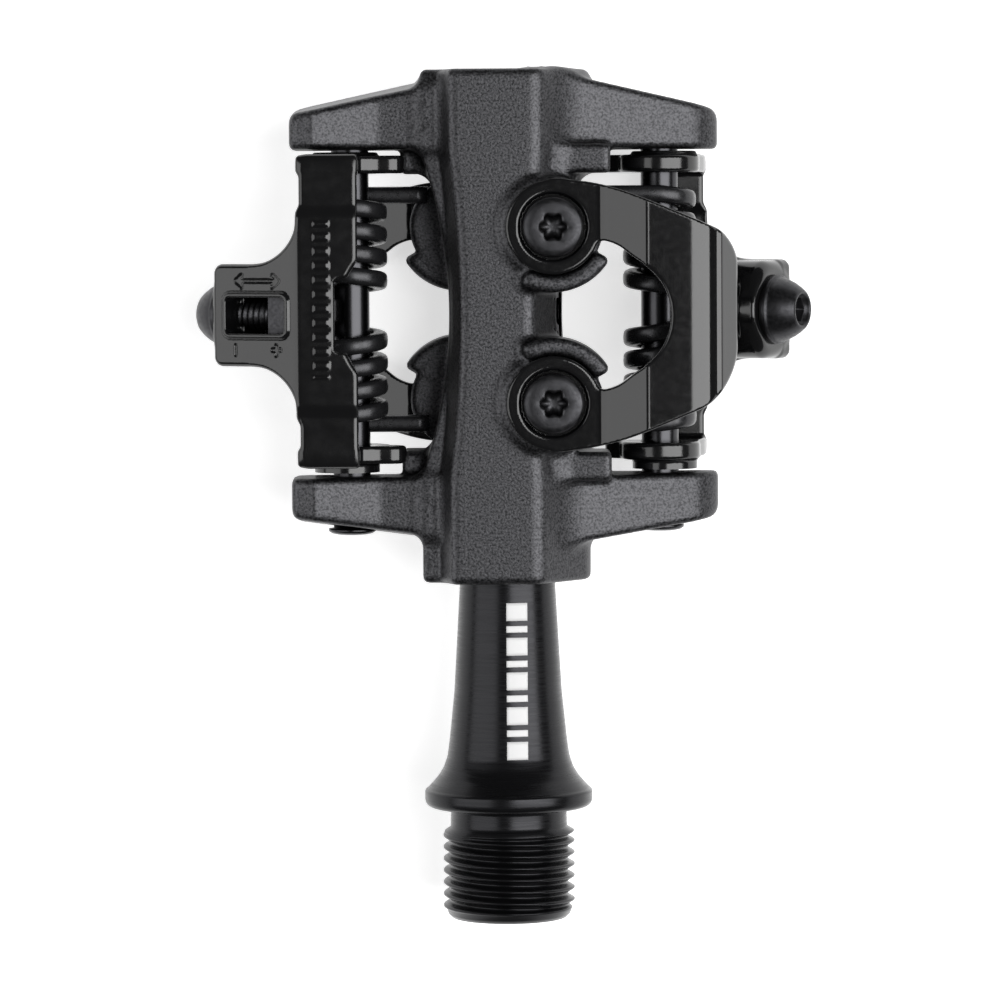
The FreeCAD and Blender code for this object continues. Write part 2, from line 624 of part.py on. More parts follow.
def front_claw(underneath):
    """Bent plate that hooks the front of the cleat."""
    word = "bottom" if underneath else "top"
    seat, thick = claw_seat_z, dim("claw_thickness")
    first, second = dim("claw_bend_x"), dim("claw_hook_start")
    third, front = dim("claw_hook_end"), dim("claw_front_x")
    rise, fall = dim("claw_rise"), dim("claw_drop")
    hook = seat + rise
    # the lower corner of each bend lies ahead of or behind the upper one by half the bend's angle
    ahead = thick * (square_root((second - first) * (second - first) + rise * rise)
                     - (second - first)) / rise
    steep = square_root((front - third) * (front - third) + fall * fall)
    behind = thick * (steep - (front - third)) / fall
    side = [(0, seat), (first + ahead, seat), (second + ahead, hook), (third - behind, hook),
            (front - thick * steep / fall, hook + thick - fall), (front, hook + thick - fall),
            (third, hook + thick), (second, hook + thick), (first, seat + thick), (0, seat + thick)]
    plan = [(dim("claw_screw_x"), dim("claw_ear_half_width")),
            (dim("claw_shoulder_x"), dim("claw_ear_half_width")),
            (second, dim("claw_mid_half_width")),
            (dim("claw_corner_x"), dim("claw_front_half_width")),
            (front, dim("claw_nose_half_width"))]
    whole = [(x, claw_centre + y) for x, y in plan] + [(x, claw_centre - y) for x, y in reversed(plan)]
    width = dim("claw_ear_half_width") + PAST
    sheet_metal = common(prism(side, claw_centre - width, width * 2, "XZ"), prism(whole, 0, FAR))
    throat = [(0, dim("claw_throat_half_width")),
              (dim("claw_throat_x"), dim("claw_throat_half_width")), (second, dim("claw_throat_end"))]
    opening = [(x, claw_centre + y) for x, y in throat]
    opening += [(x, claw_centre - y) for x, y in reversed(throat)]
    mouth = dim("claw_mouth_reach") - dim("claw_mouth_radius")
    plate = cut(sheet_metal, prism(opening, 0, FAR),
                cylinder("Z", dim("claw_mouth_radius"), 0, FAR, (mouth, claw_centre)))
    places = [(dim("claw_screw_x"), claw_centre + sign * dim("claw_screw_half_pitch"))
              for sign in (1, -1)]
    claw = fuse(plate, *[cylinder("Z", dim("claw_ear_radius"), seat, thick, at) for at in places])
    holes = [cylinder("Z", dim("screw_radius") + dim("screw_gap"), 0, FAR, at) for at in places]
    holes += [cylinder("Z", dim("screw_sink_radius"), seat + thick - dim("screw_sink_depth"),
                       dim("screw_sink_depth") + PAST, at) for at in places]
    part(f"front_claw_{word}", cut(claw, *holes), underneath)

    screws = []
    for at in places:
        head = cylinder("Z", dim("screw_head_radius"), screw_rest, dim("screw_head_height"), at)
        shank = cylinder("Z", dim("screw_radius"), screw_rest + dim("screw_head_depth")
                         - dim("screw_length"), dim("screw_length"), at)
        drive = cylinder("Z", dim("screw_drive_radius"), screw_rest + dim("screw_head_height")
                         - dim("screw_drive_depth"), dim("screw_drive_depth") + PAST, at)
        screws.append(cut(fuse(head, shank), drive))
    group = doc.addObject("Part::Compound", name_of("screws"))
    group.Links = screws
    part(f"claw_screws_{word}", group, underneath)


def tail_point(along, down):
    """A point of the tail's side view: along its slope, and down from its face."""
    back, top = -dim("jaw_back_x"), dim("jaw_top")
    return (back - along * slope_cos + down * slope_sin, top - along * slope_sin - down * slope_cos)


def along_tail(obj, along, y, down):
    """Turns an object made along +Z so that it runs down the tail, and puts it there."""
    angle = dim("jaw_tail_slope") + 90
    obj.Placement = App.Placement(App.Vector(), App.Rotation(-AXES["Y"], angle.number))
    bind(obj, "Placement.Rotation.Angle", angle)
    x, z = tail_point(size(along), size(down))
    put(obj, x, y, z)
    return obj


def rod(radius, along, length):
    """A cylinder on the tension bolt's axis."""
    obj = doc.addObject("Part::Cylinder", name_of("rod"))
    bind(obj, "Radius", radius)
    bind(obj, "Height", length)
    return along_tail(obj, along, centre, dim("bolt_depth"))


def rear_jaw(underneath):
    """Sprung jaw that hooks the back of the cleat, with the tail that holds the tension bolt."""
    word = "bottom" if underneath else "top"
    top, thick = dim("jaw_top"), dim("jaw_thickness")
    lip, back, bevel = -dim("jaw_lip_x"), -dim("jaw_back_x"), dim("jaw_lip_bevel")
    length, depth = dim("jaw_tail_length"), dim("jaw_tail_depth")
    out, inn = dim("jaw_outboard"), dim("jaw_inboard")
    # the plate and the sloping face of the tail, in side view
    half_bend = (1 - slope_cos) / slope_sin
    shell = [(lip, top), (back, top), tail_point(length, size(0)), tail_point(length, thick),
             (back + thick * half_bend, top - thick), (lip - bevel, top - thick),
             (lip, top - thick + bevel)]
    plate = prism(shell, centre - inn, out + inn, "XZ")
    # in plan a hollow flank on each side leads from the plate to the narrower tail
    flank, tail, corner = dim("jaw_flank_radius"), dim("jaw_tail_half_width"), dim("jaw_corner")
    side = [(back - flank * (1 - math.cos(math.radians(a))),
             tail + flank * (1 - math.sin(math.radians(a)))) for a in (0, 30, 60, 90)]
    side.append((back - length, tail))
    plan = [(0, centre + out), (back + corner, centre + out), (back, centre + out - corner)]
    plan += [(x, centre + y) for x, y in side] + [(x, centre - y) for x, y in reversed(side)]
    plan += [(back, centre - inn + corner), (back + corner, centre - inn), (0, centre - inn)]
    mouth = lip - dim("jaw_mouth_depth") + dim("jaw_mouth_radius")
    pieces = [cut(common(plate, prism(plan, -FAR, FAR * 2)),
                  cylinder("Z", dim("jaw_mouth_radius"), 0, FAR, (mouth, claw_centre)))]
    # side walls and end wall of the tail's channel
    wall, front = dim("jaw_tail_wall"), back + dim("jaw_wall_front")
    walls = [(front, top - thick / 2), tail_point(size(0), thick / 2), tail_point(length, thick / 2),
             tail_point(length, depth),
             tail_point(dim("jaw_wall_low_start"), dim("jaw_wall_low_depth")),
             (front, top - dim("jaw_wall_front_height"))]
    pieces += [prism(walls, y, wall, "XZ") for y in (centre + tail - wall, centre - tail)]
    end = length - dim("jaw_end_wall")
    end_wall = [tail_point(end, thick / 2), tail_point(length, thick / 2),
                tail_point(length, depth), tail_point(end, depth)]
    pieces.append(prism(end_wall, centre - tail, tail * 2, "XZ"))
    # side arms round the pin, resting on the body's stops
    arm, lug = dim("jaw_arm_width"), dim("jaw_lug_radius")
    reach, rest = -dim("jaw_arm_reach"), dim("stop_height") + dim("jaw_arm_gap")
    side_arm = [(lip, top - thick / 2), (back, top - thick / 2), (pin_x - lug, pin_z),
                (pin_x, pin_z), (-dim("stop_reach"), rest), (reach, rest),
                (reach, rest + dim("jaw_arm_tip_height")), (lip, rest + dim("jaw_arm_root_height"))]
    for y in (centre + out - arm, centre - inn):
        pieces.append(prism(side_arm, y, arm, "XZ"))
        pieces.append(cylinder("Y", lug, y, arm, (pin_x, pin_z)))
    half = dim("window_half_width")
    start, stop = dim("window_start"), dim("window_end")
    window = [tail_point(start, size(-PAST)), tail_point(stop, size(-PAST)),
              tail_point(stop, thick + PAST), tail_point(start, thick + PAST)]
    holes = [cylinder("Y", dim("pin_radius") + run, centre - FAR, FAR * 2, (pin_x, pin_z)),
             prism(window, centre - half, half * 2, "XZ"),
             rod(dim("bolt_radius") + run, end - PAST, dim("jaw_end_wall") + PAST * 2)]
    part(f"rear_jaw_{word}", cut(fuse(*pieces), *holes), underneath)


def jaw_pin(underneath):
    word = "bottom" if underneath else "top"
    far = centre + dim("wing_gap_half") + dim("pin_blind_depth") - dim("pin_end_gap")
    # the head stands on the outside of the inboard wing, whose face slopes away to its tip
    root, tip = dim("inboard_wing_root"), dim("inboard_wing_tip")
    share = (dim("pin_x") - dim("pin_head_radius") - dim("barrel_half_width")) / (
        dim("wing_tip_reach") - dim("wing_corner") - dim("barrel_half_width"))
    face = centre - dim("wing_gap_half") - root + (root - tip) * share - gap
    pin = fuse(cylinder("Y", dim("pin_radius"), face, far - face, (pin_x, pin_z)),
               cylinder("Y", dim("pin_head_radius"), face - dim("pin_head_height"),
                        dim("pin_head_height"), (pin_x, pin_z)))
    part(f"jaw_pin_{word}", pin, underneath)


def spring(outboard, underneath):
    """Torsion spring: a coil on the jaw pin, a straight leg to the barrel and one to the nut.

    A Part::Feature, because the coil and its legs are one wire swept along one path.
    """
    word = ("outboard" if outboard else "inboard") + ("_bottom" if underneath else "_top")
    sign = 1 if outboard else -1
    radius, turns = dim("coil_radius").number, dim("spring_turns").number
    x, z = pin_x.number, pin_z.number
    first = (spring_centre + sign * dim("spring_inner")).number
    length = (sign * dim("coil_pitch") * turns).number
    # the inner leg runs down into the coil's left side, and the coil ends at its underside
    sweep = 2 * math.pi * turns
    steps = int(turns * SPRING_POINTS)
    points = []
    for i in range(steps + 1):
        angle = math.pi + sweep * i / steps
        points.append(App.Vector(x + radius * math.cos(angle), first + length * i / steps,
                                 z + radius * math.sin(angle)))
    curve = Part.BSplineCurve()
    curve.interpolate(points)
    foot = points[0] + App.Vector(0, 0, dim("spring_inner_leg").number)
    tip = App.Vector(-dim("spring_leg_reach").number, points[-1].y, points[-1].z)
    path = Part.Wire([Part.LineSegment(foot, points[0]).toShape(), curve.toShape(),
                      Part.LineSegment(points[-1], tip).toShape()])
    section = Part.Circle(foot, AXES["Z"], (dim("wire") / 2).number)
    obj = doc.addObject("Part::Feature", "spring_" + word)
    obj.Shape = path.makePipeShell([Part.Wire([section.toShape()])], True, True)
    part("spring_" + word, obj, underneath)


def tension(underneath):
    """The tension bolt in the tail and the nut that it draws along the channel."""
    word = "bottom" if underneath else "top"
    length, depth, rim = dim("jaw_tail_length"), dim("bolt_depth"), dim("bolt_rim_height")
    shank = rod(dim("bolt_radius"), length - dim("bolt_length"), dim("bolt_length") + rim)
    flat = rod(dim("bolt_head_radius"), length + run, rim - run)
    nose = doc.addObject("Part::Cone", name_of("bolt_nose"))
    bind(nose, "Radius1", dim("bolt_head_radius"))
    bind(nose, "Radius2", dim("bolt_nose_radius"))
    bind(nose, "Height", dim("bolt_head_height") - rim)
    along_tail(nose, length + rim, centre, depth)
    socket = doc.addObject("Part::Extrusion", name_of("bolt_socket"))
    socket.Base = outline(hexagon(dim("bolt_socket_flats")))
    socket.DirMode = "Custom"
    socket.Dir = AXES["Z"]
    bind(socket, "LengthFwd", dim("bolt_socket_depth") + PAST)
    socket.Solid = True
    along_tail(socket, length + dim("bolt_head_height") - dim("bolt_socket_depth"), centre, depth)
    part(f"tension_bolt_{word}", cut(fuse(shank, flat, nose), socket), underneath)

    half = dim("jaw_tail_half_width") - dim("jaw_tail_wall") - dim("nut_side_gap")
    start, end = dim("nut_start"), dim("nut_start") + dim("nut_length")
    high = dim("jaw_thickness") + dim("nut_top_gap")
    low = dim("jaw_tail_depth") - dim("nut_low_gap")
    block = [tail_point(start, high), tail_point(end, high), tail_point(end, low),
             tail_point(start, low)]
    hole = rod(dim("bolt_radius") + run, start - PAST, dim("nut_length") + PAST * 2)
    part(f"tension_nut_{word}", cut(prism(block, centre - half, half * 2, "XZ"), hole), underneath)


spindle()
bearings()
body()
for underneath in (False, True):
    front_claw(underneath)
    rear_jaw(underneath)
    jaw_pin(underneath)
    tension(underneath)
    for outboard in (True, False):
        spring(outboard, underneath)

doc.recompute()

faults = [f"{obj.Name} ({obj.Label}): {obj.State}" for obj in doc.Objects
          if "Invalid" in obj.State or "Error" in obj.State]
for obj in PARTS:
    if obj.Shape.isNull() or not obj.Shape.isValid():
        faults.append(f"{obj.Label}: bad shape")
if faults:
    raise RuntimeError("not built: " + "; ".join(faults))

os.makedirs("parts", exist_ok=True)
for obj in PARTS:
    obj.Shape.exportStep(f"parts/{obj.Label}.step")
    print(f"{obj.Label:26s} {obj.Shape.Volume:10.1f} mm3  solids {len(obj.Shape.Solids)}")
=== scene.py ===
"""Looks of a two-sided clipless bicycle pedal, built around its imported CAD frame.

Lengths inside the shape functions are millimetres, and solid_mesh and grid_mesh turn them to metres.
X runs across the pedal, Y outboard along the spindle and Z up.
"""

import json
import math

import bmesh
import bpy
import numpy as np
from bpy.props import FloatProperty, PointerProperty, StringProperty
from bpy.types import Operator, Panel, PropertyGroup
from mathutils import Matrix, Vector


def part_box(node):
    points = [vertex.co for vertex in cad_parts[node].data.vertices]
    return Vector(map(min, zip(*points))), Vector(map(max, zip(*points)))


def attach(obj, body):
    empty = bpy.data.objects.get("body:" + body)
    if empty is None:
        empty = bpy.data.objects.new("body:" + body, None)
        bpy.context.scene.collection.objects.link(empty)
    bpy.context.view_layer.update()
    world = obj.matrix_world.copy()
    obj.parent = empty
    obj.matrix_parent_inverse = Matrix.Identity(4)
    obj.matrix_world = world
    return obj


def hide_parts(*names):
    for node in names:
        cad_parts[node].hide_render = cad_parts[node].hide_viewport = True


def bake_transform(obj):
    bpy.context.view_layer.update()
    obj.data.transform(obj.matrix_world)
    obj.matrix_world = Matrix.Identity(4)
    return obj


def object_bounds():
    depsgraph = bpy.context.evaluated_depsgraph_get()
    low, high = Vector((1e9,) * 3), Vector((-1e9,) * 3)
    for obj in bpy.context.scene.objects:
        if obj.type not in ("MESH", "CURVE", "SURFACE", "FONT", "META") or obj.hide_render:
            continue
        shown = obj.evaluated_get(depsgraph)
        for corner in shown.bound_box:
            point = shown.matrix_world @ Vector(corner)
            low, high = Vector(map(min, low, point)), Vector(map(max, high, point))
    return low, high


bl_info = {
    "name": "Clipless Pedal",
    "version": (1, 0, 0),
    "blender": (4, 5, 0),
    "location": "View3D > Sidebar > Pedal",
    "description": "Builds the visible pieces of a two-sided clipless pedal round its CAD frame",
    "category": "Object",
}

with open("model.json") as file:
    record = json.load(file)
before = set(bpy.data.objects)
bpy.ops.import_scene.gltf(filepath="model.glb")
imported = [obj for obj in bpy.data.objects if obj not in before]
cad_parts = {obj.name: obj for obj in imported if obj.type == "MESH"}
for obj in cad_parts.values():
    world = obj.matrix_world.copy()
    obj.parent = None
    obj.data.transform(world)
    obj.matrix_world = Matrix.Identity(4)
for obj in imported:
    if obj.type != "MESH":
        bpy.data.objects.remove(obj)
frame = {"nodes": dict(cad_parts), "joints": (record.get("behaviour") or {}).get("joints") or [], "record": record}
CAD_BOX = [list(corner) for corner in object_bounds()]
MM = 0.001
SIDES = {"top": 1.0, "bottom": -1.0}


def span(node, axis):
    """Lowest and highest place of a CAD node along an axis, in millimetres."""
    low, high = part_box(node)
    return low[axis] / MM, high[axis] / MM


def joint(name):
    return next(j for j in frame["joints"] if j["name"] == name)


# --- places taken from the frame -------------------------------------------------------------------
BARREL_START, BARREL_END = span("body", 1)
WING_TIP = span("body", 0)[1]
CENTRE = joint("jaw_open_top")["pos_m"][1] / MM
PIN_X, _, PIN_Z = (value / MM for value in joint("jaw_open_top")["pos_m"])
SCREWS_Y = span("claw_screws_top", 1)
CLAW_CENTRE = sum(SCREWS_Y) / 2
SCREW_X = sum(span("claw_screws_top", 0)) / 2
SCREW_HALF_PITCH = 9.3
CLAW_FRONT = span("front_claw_top", 0)[1]
CLAW_SEAT = 9.02
JAW_SIDES = span("rear_jaw_top", 1)
JAW_TOP = span("rear_jaw_top", 2)[1]
THREAD_END, SPINDLE_END = span("spindle", 1)
FLANGE_RADIUS = span("spindle", 0)[1]


# --- meshes ----------------------------------------------------------------------------------------
def smoothstep(value, start, end):
    """0 before start, 1 after end, and a cubic ease between them."""
    share = np.clip((value - start) / (end - start), 0.0, 1.0)
    return share * share * (3.0 - 2.0 * share)


def eased_ramp(value, start, end):
    """Running total of smoothstep: flat before start, a straight slope of one after end."""
    share = np.clip((value - start) / (end - start), 0.0, 1.0)
    return (end - start) * (share**3 - share**4 / 2.0) + np.maximum(value - end, 0.0)


def both(first, second, radius=0.0):
    """Where two solids overlap, with the edge between them rounded to a radius."""
    if radius == 0.0:
        return np.maximum(first, second)
    a, b = np.maximum(first + radius, 0.0), np.maximum(second + radius, 0.0)
    return np.minimum(-radius, np.maximum(first, second)) + np.sqrt(a * a + b * b)


def either(first, second, radius=0.0):
    """Two solids joined, with a fillet of a radius in the corner between them."""
    if radius == 0.0:
        return np.minimum(first, second)
    a, b = np.maximum(radius - first, 0.0), np.maximum(radius - second, 0.0)
    return np.maximum(radius, np.minimum(first, second)) - np.sqrt(a * a + b * b)


def without(solid, tool, radius=0.0):
    """A solid with a tool cut out of it, the new edge rounded to a radius."""
    return both(solid, -tool, radius)


def line(a, b, a1, b1, a2, b2):
    """Signed distance from a line; the right-hand side of the way from 1 to 2 is outside."""
    run, rise = a2 - a1, b2 - b1
    return ((a - a1) * rise - (b - b1) * run) / np.sqrt(run * run + rise * rise)


def disc(a, b, a0, b0, radius):
    """Signed distance from a circle."""
    return np.sqrt((a - a0) ** 2 + (b - b0) ** 2) - radius


def capsule(a, b, a1, b1, a2, b2, radius):
    """Signed distance from a straight bar with round ends."""
    run, rise = a2 - a1, b2 - b1
    share = np.clip(((a - a1) * run + (b - b1) * rise) / (run * run + rise * rise), 0.0, 1.0)
    return np.sqrt((a - a1 - share * run) ** 2 + (b - b1 - share * rise) ** 2) - radius


def slab(value, low, high):
    """Signed distance from the space between two parallel planes."""
    return np.abs(value - (low + high) / 2.0) - (high - low) / 2.0


def new_object(name, vertices, faces, smooth=True):
    """A mesh object from whole arrays of vertices, in millimetres, and four-cornered faces."""
    mesh = bpy.data.meshes.new(name)
    mesh.vertices.add(len(vertices))
    mesh.vertices.foreach_set("co", (np.asarray(vertices, float) * MM).ravel())
    mesh.loops.add(faces.size)
    mesh.loops.foreach_set("vertex_index", faces.ravel().astype(np.int32))
    mesh.polygons.add(len(faces))
    mesh.polygons.foreach_set("loop_start", np.arange(0, faces.size, faces.shape[1], dtype=np.int32))
    mesh.polygons.foreach_set("loop_total", np.full(len(faces), faces.shape[1], np.int32))
    mesh.polygons.foreach_set("use_smooth", np.full(len(faces), smooth))
    mesh.update(calc_edges=True)
    mesh.validate()
    obj = bpy.data.objects.new(name, mesh)
    bpy.context.scene.collection.objects.link(obj)
    return obj


def skin(field, low, high, step):
    """Surface nets: one vertex in each grid cell that the surface crosses, four to a face.

    A vertex starts at the mean of the crossings on its cell's edges, and moves onto the surface by
    Newton steps along the field's slope.
    """
    axes = [np.arange(a, b + step, step) for a, b in zip(low, high)]
    grid = field(*np.meshgrid(*axes, indexing="ij", sparse=True))
    inside = grid < 0.0
    cells = tuple(n - 1 for n in grid.shape)
    total = np.zeros(cells + (3,))
    count = np.zeros(cells, np.int32)
    quads = []
    edges = []
    for axis in range(3):
        others = [a for a in range(3) if a != axis]
        first = [slice(None)] * 3
        second = [slice(None)] * 3
        first[axis], second[axis] = slice(0, -1), slice(1, None)
        a, b = grid[tuple(first)], grid[tuple(second)]
        crossed = np.argwhere(inside[tuple(first)] != inside[tuple(second)])
        va, vb = a[tuple(crossed.T)], b[tuple(crossed.T)]
        place = crossed.astype(float)
        place[:, axis] += va / (va - vb)
        ring = []
        for da, db in ((0, 0), (1, 0), (1, 1), (0, 1)):
            cell = crossed.copy()
            cell[:, others[0]] -= da
            cell[:, others[1]] -= db
            ring.append(cell)
            np.add.at(total, tuple(cell.T), place)
            np.add.at(count, tuple(cell.T), 1)
        outward = inside[tuple(first)][tuple(crossed.T)]
        edges.append((ring, outward if axis != 1 else ~outward))
    number = np.full(cells, -1, np.int64)
    used = count > 0
    number[used] = np.arange(used.sum())
    points = total[used] / count[used][:, None] * step + np.array([a[0] for a in axes])
    for ring, outward in edges:
        corners = np.stack([number[tuple(cell.T)] for cell in ring], axis=1)
        corners[~outward] = corners[~outward][:, ::-1]
        quads.append(corners)
    start = points.copy()
    reach = step * 0.02
    for _ in range(4):
        value = field(*points.T)
        slope = np.stack([(field(*(points + reach * e).T) - field(*(points - reach * e).T))
                          / (2.0 * reach) for e in np.eye(3)], axis=1)
        size = np.maximum((slope**2).sum(axis=1), 0.05)
        points = points - slope * (value / size)[:, None]
        points = start + np.clip(points - start, -0.7 * step, 0.7 * step)
    return points, np.concatenate(quads)


def solid_mesh(name, field, low, high, step, flip=False):
    """A closed mesh of the solid whose field is negative inside; flip turns it under the pedal."""
    points, faces = skin(field, low, high, step)
    if flip:
        points = points * np.array([-1.0, 1.0, -1.0])
    return new_object(name, points, faces)


def grid_mesh(name, *shells, flip=False):
    """Closed skins over rows of points that run round; the open end rows are filled."""
    vertices, faces, start = [], [], 0
    for points in shells:
        rows, columns = points.shape[:2]
        index = start + np.arange(rows * columns).reshape(rows, columns)
        after = np.roll(index, -1, axis=1)
        faces.append(np.stack([index[:-1], after[:-1], after[1:], index[1:]], axis=-1).reshape(-1, 4))
        vertices.append(points.reshape(-1, 3))
        start += rows * columns
    vertices = np.concatenate(vertices)
    if flip:
        vertices = vertices * np.array([-1.0, 1.0, -1.0])
    obj = new_object(name, vertices, np.concatenate(faces))
    bm = bmesh.new()
    bm.from_mesh(obj.data)
    bmesh.ops.remove_doubles(bm, verts=bm.verts, dist=1e-7)
    bmesh.ops.holes_fill(bm, edges=bm.edges, sides=0)
    bmesh.ops.recalc_face_normals(bm, faces=bm.faces)
    bm.to_mesh(obj.data)
    bm.free()
    obj.data.polygons.foreach_set("use_smooth", np.ones(len(obj.data.polygons), bool))
    return obj


def densify(profile, step):
    """A chain of (radius, place) corners with points added every step along its straight runs."""
    profile = np.asarray(profile, float)
    pieces = []
    for a, b in zip(profile[:-1], profile[1:]):
        count = max(1, int(np.ceil(np.hypot(*(b - a)) / step)))
        pieces.append(a + (b - a) * np.linspace(0, 1, count, endpoint=False)[:, None])
    return np.vstack(pieces + [profile[-1:]])


def rounded(profile, radius, count=4):
    """A chain of corners with each inner corner replaced by a short arc-like quadratic curve."""
    profile = [np.asarray(p, float) for p in profile]
    out = [profile[0]]
    share = np.linspace(0, 1, count + 1)[:, None]
    for before, corner, after in zip(profile[:-2], profile[1:-1], profile[2:]):
        left, right = before - corner, after - corner
        reach = min(radius, np.hypot(*left) * 0.45, np.hypot(*right) * 0.45)
        a = corner + left / np.hypot(*left) * reach
        b = corner + right / np.hypot(*right) * reach
        out.append((1 - share) ** 2 * a + 2 * share * (1 - share) * corner + share**2 * b)
    out.append(profile[-1])
    return np.vstack([np.atleast_2d(p) for p in out])


# --- materials -------------------------------------------------------------------------------------
def linear(code):
    """An sRGB hex colour as linear red, green, blue and alpha."""
    parts = [int(code[i:i + 2], 16) / 255 for i in (1, 3, 5)]
    return [c / 12.92 if c <= 0.04045 else ((c + 0.055) / 1.055) ** 2.4 for c in parts] + [1.0]


def add(material, kind, settings=None, links=None):
    """Adds a shader node with its settings and its links from other sockets."""
    tree = material.node_tree
    node = tree.nodes.new(kind)
    for key, value in (settings or {}).items():
        if isinstance(key, int) or key in node.inputs:
            node.inputs[key].default_value = value
        else:
            setattr(node, key, value)
    for key, socket in (links or {}).items():
        tree.links.new(socket, node.inputs[key])
    return node


def new_material(name, **principled):
    material = bpy.data.materials.new(name)
    material.use_nodes = True
    material.node_tree.nodes.clear()
    settings = {key.replace("_", " "): value for key, value in principled.items()}
    shader = add(material, "ShaderNodeBsdfPrincipled", settings)
    output = add(material, "ShaderNodeOutputMaterial")
    material.node_tree.links.new(shader.outputs["BSDF"], output.inputs["Surface"])
    return material, shader


def grain(material, shader, size_mm, height_mm, stretch=(1, 1, 1), rough=None, tint=None):
    """Fine relief from noise on object coordinates; rough and tint spread the roughness and colour."""
    place = add(material, "ShaderNodeTexCoord").outputs["Object"]
    mapped = add(material, "ShaderNodeMapping", {"Scale": stretch}, {"Vector": place})
    noise = add(material, "ShaderNodeTexNoise", {"Scale": 1.0 / (size_mm * MM), "Detail": 3.0,
                "Roughness": 0.55}, {"Vector": mapped.outputs["Vector"]})
    bump = add(material, "ShaderNodeBump", {"Strength": 1.0, "Distance": height_mm * MM},
               {"Height": noise.outputs["Fac"]})
    material.node_tree.links.new(bump.outputs["Normal"], shader.inputs["Normal"])
    if rough:
        spread = add(material, "ShaderNodeMapRange", {"From Min": 0.3, "From Max": 0.7,
                     "To Min": rough[0], "To Max": rough[1]}, {"Value": noise.outputs["Fac"]})
        material.node_tree.links.new(spread.outputs["Result"], shader.inputs["Roughness"])
    if tint:
        share = add(material, "ShaderNodeMapRange", {"From Min": 0.35, "From Max": 0.65},
                    {"Value": noise.outputs["Fac"]})
        low, high = ([c * factor for c in tint[:3]] + [1.0] for factor in (0.45, 1.55))
        mix = add(material, "ShaderNodeMix", {"data_type": "RGBA", 6: low, 7: high},
                  {0: share.outputs["Result"]})
        material.node_tree.links.new(mix.outputs[2], shader.inputs["Base Color"])


MATERIALS = {}


def make_materials(looks):
    # bead-blasted, black anodised aluminium: an even grain of tiny dents that speckle it grey,
    # drawn 0.25 mm wide, coarser than the real grit, so that it shows
    material, shader = new_material("bead_blasted_aluminium", Base_Color=linear(looks.body),
                                    Metallic=1.0, Roughness=0.52)
    grain(material, shader, 0.25, 0.035, rough=(0.36, 0.50), tint=linear(looks.body))
    MATERIALS["bead_blasted_aluminium"] = material
    # turned steel under black chrome: fine rings round the axis that widen its highlights
    material, shader = new_material("black_steel", Base_Color=linear(looks.spindle), Metallic=0.8,
                                    Roughness=0.28)
    grain(material, shader, 0.25, 0.004, stretch=(0.05, 1, 0.05), rough=(0.22, 0.34))
    MATERIALS["black_steel"] = material
    # lacquered casting: a deep black gloss over a slightly uneven skin
    material, shader = new_material("black_cast_steel", Base_Color=linear(looks.jaw), Metallic=0.0,
                                    Roughness=0.17)
    grain(material, shader, 1.6, 0.002, rough=(0.13, 0.19))
    MATERIALS["black_cast_steel"] = material
    # pressed sheet under black lacquer: flatter than the casting, so its reflections are sharper
    material, shader = new_material("black_sheet_steel", Base_Color=linear(looks.claw), Metallic=0.0,
                                    Roughness=0.13)
    grain(material, shader, 0.6, 0.0004, rough=(0.09, 0.13))
    MATERIALS["black_sheet_steel"] = material
    # black oxide on machined fasteners: thin, uneven, a little metal shows
    material, shader = new_material("dark_fastener_steel", Base_Color=linear(looks.fastener),
                                    Metallic=1.0, Roughness=0.38)
    grain(material, shader, 0.35, 0.01, rough=(0.30, 0.50))
    MATERIALS["dark_fastener_steel"] = material
    # drawn spring wire with a thin black coat
    material, shader = new_material("spring_steel", Base_Color=linear(looks.spring), Metallic=0.6,
                                    Roughness=0.28)
    grain(material, shader, 0.5, 0.004, rough=(0.22, 0.36))
    MATERIALS["spring_steel"] = material
    # ground pin, blackened
    material, shader = new_material("pin_steel", Base_Color=linear("#3a3a3c"), Metallic=1.0,
                                    Roughness=0.25)
    grain(material, shader, 0.2, 0.003, stretch=(0.1, 1, 0.1))
    MATERIALS["pin_steel"] = material
    # polished bearing steel
    material, shader = new_material("bearing_steel", Base_Color=linear("#b4b6ba"), Metallic=1.0,
                                    Roughness=0.15)
    grain(material, shader, 0.4, 0.001)
    MATERIALS["bearing_steel"] = material
    # sintered bushing polymer
    material, shader = new_material("bushing_polymer", Base_Color=linear("#6b5f4a"), Roughness=0.6)
    grain(material, shader, 0.3, 0.01)
    MATERIALS["bushing_polymer"] = material
    # nitrile rubber, matte
    material, shader = new_material("black_rubber", Base_Color=linear("#161616"), Roughness=0.65)
    grain(material, shader, 0.4, 0.01)
    MATERIALS["black_rubber"] = material
    # anodised aluminium cap
    material, shader = new_material("cap_aluminium", Base_Color=linear("#2c2c2e"), Metallic=1.0,
                                    Roughness=0.35)
    grain(material, shader, 0.3, 0.006)
    MATERIALS["cap_aluminium"] = material
    # pad-printed white ink
    material, shader = new_material("white_ink", Base_Color=linear("#e6e6e6"), Roughness=0.5)
    grain(material, shader, 0.5, 0.002)
    MATERIALS["white_ink"] = material


def finish_piece(obj, body, slot, nodes=()):
    """Gives a piece its material, the body that it rides on, its slot and the CAD nodes it replaces."""
    obj.data.materials.append(MATERIALS[slot])
    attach(obj, body)
    if nodes:
        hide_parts(*nodes)
    return obj


# --- the body --------------------------------------------------------------------------------------
WING_FACE = 17.35


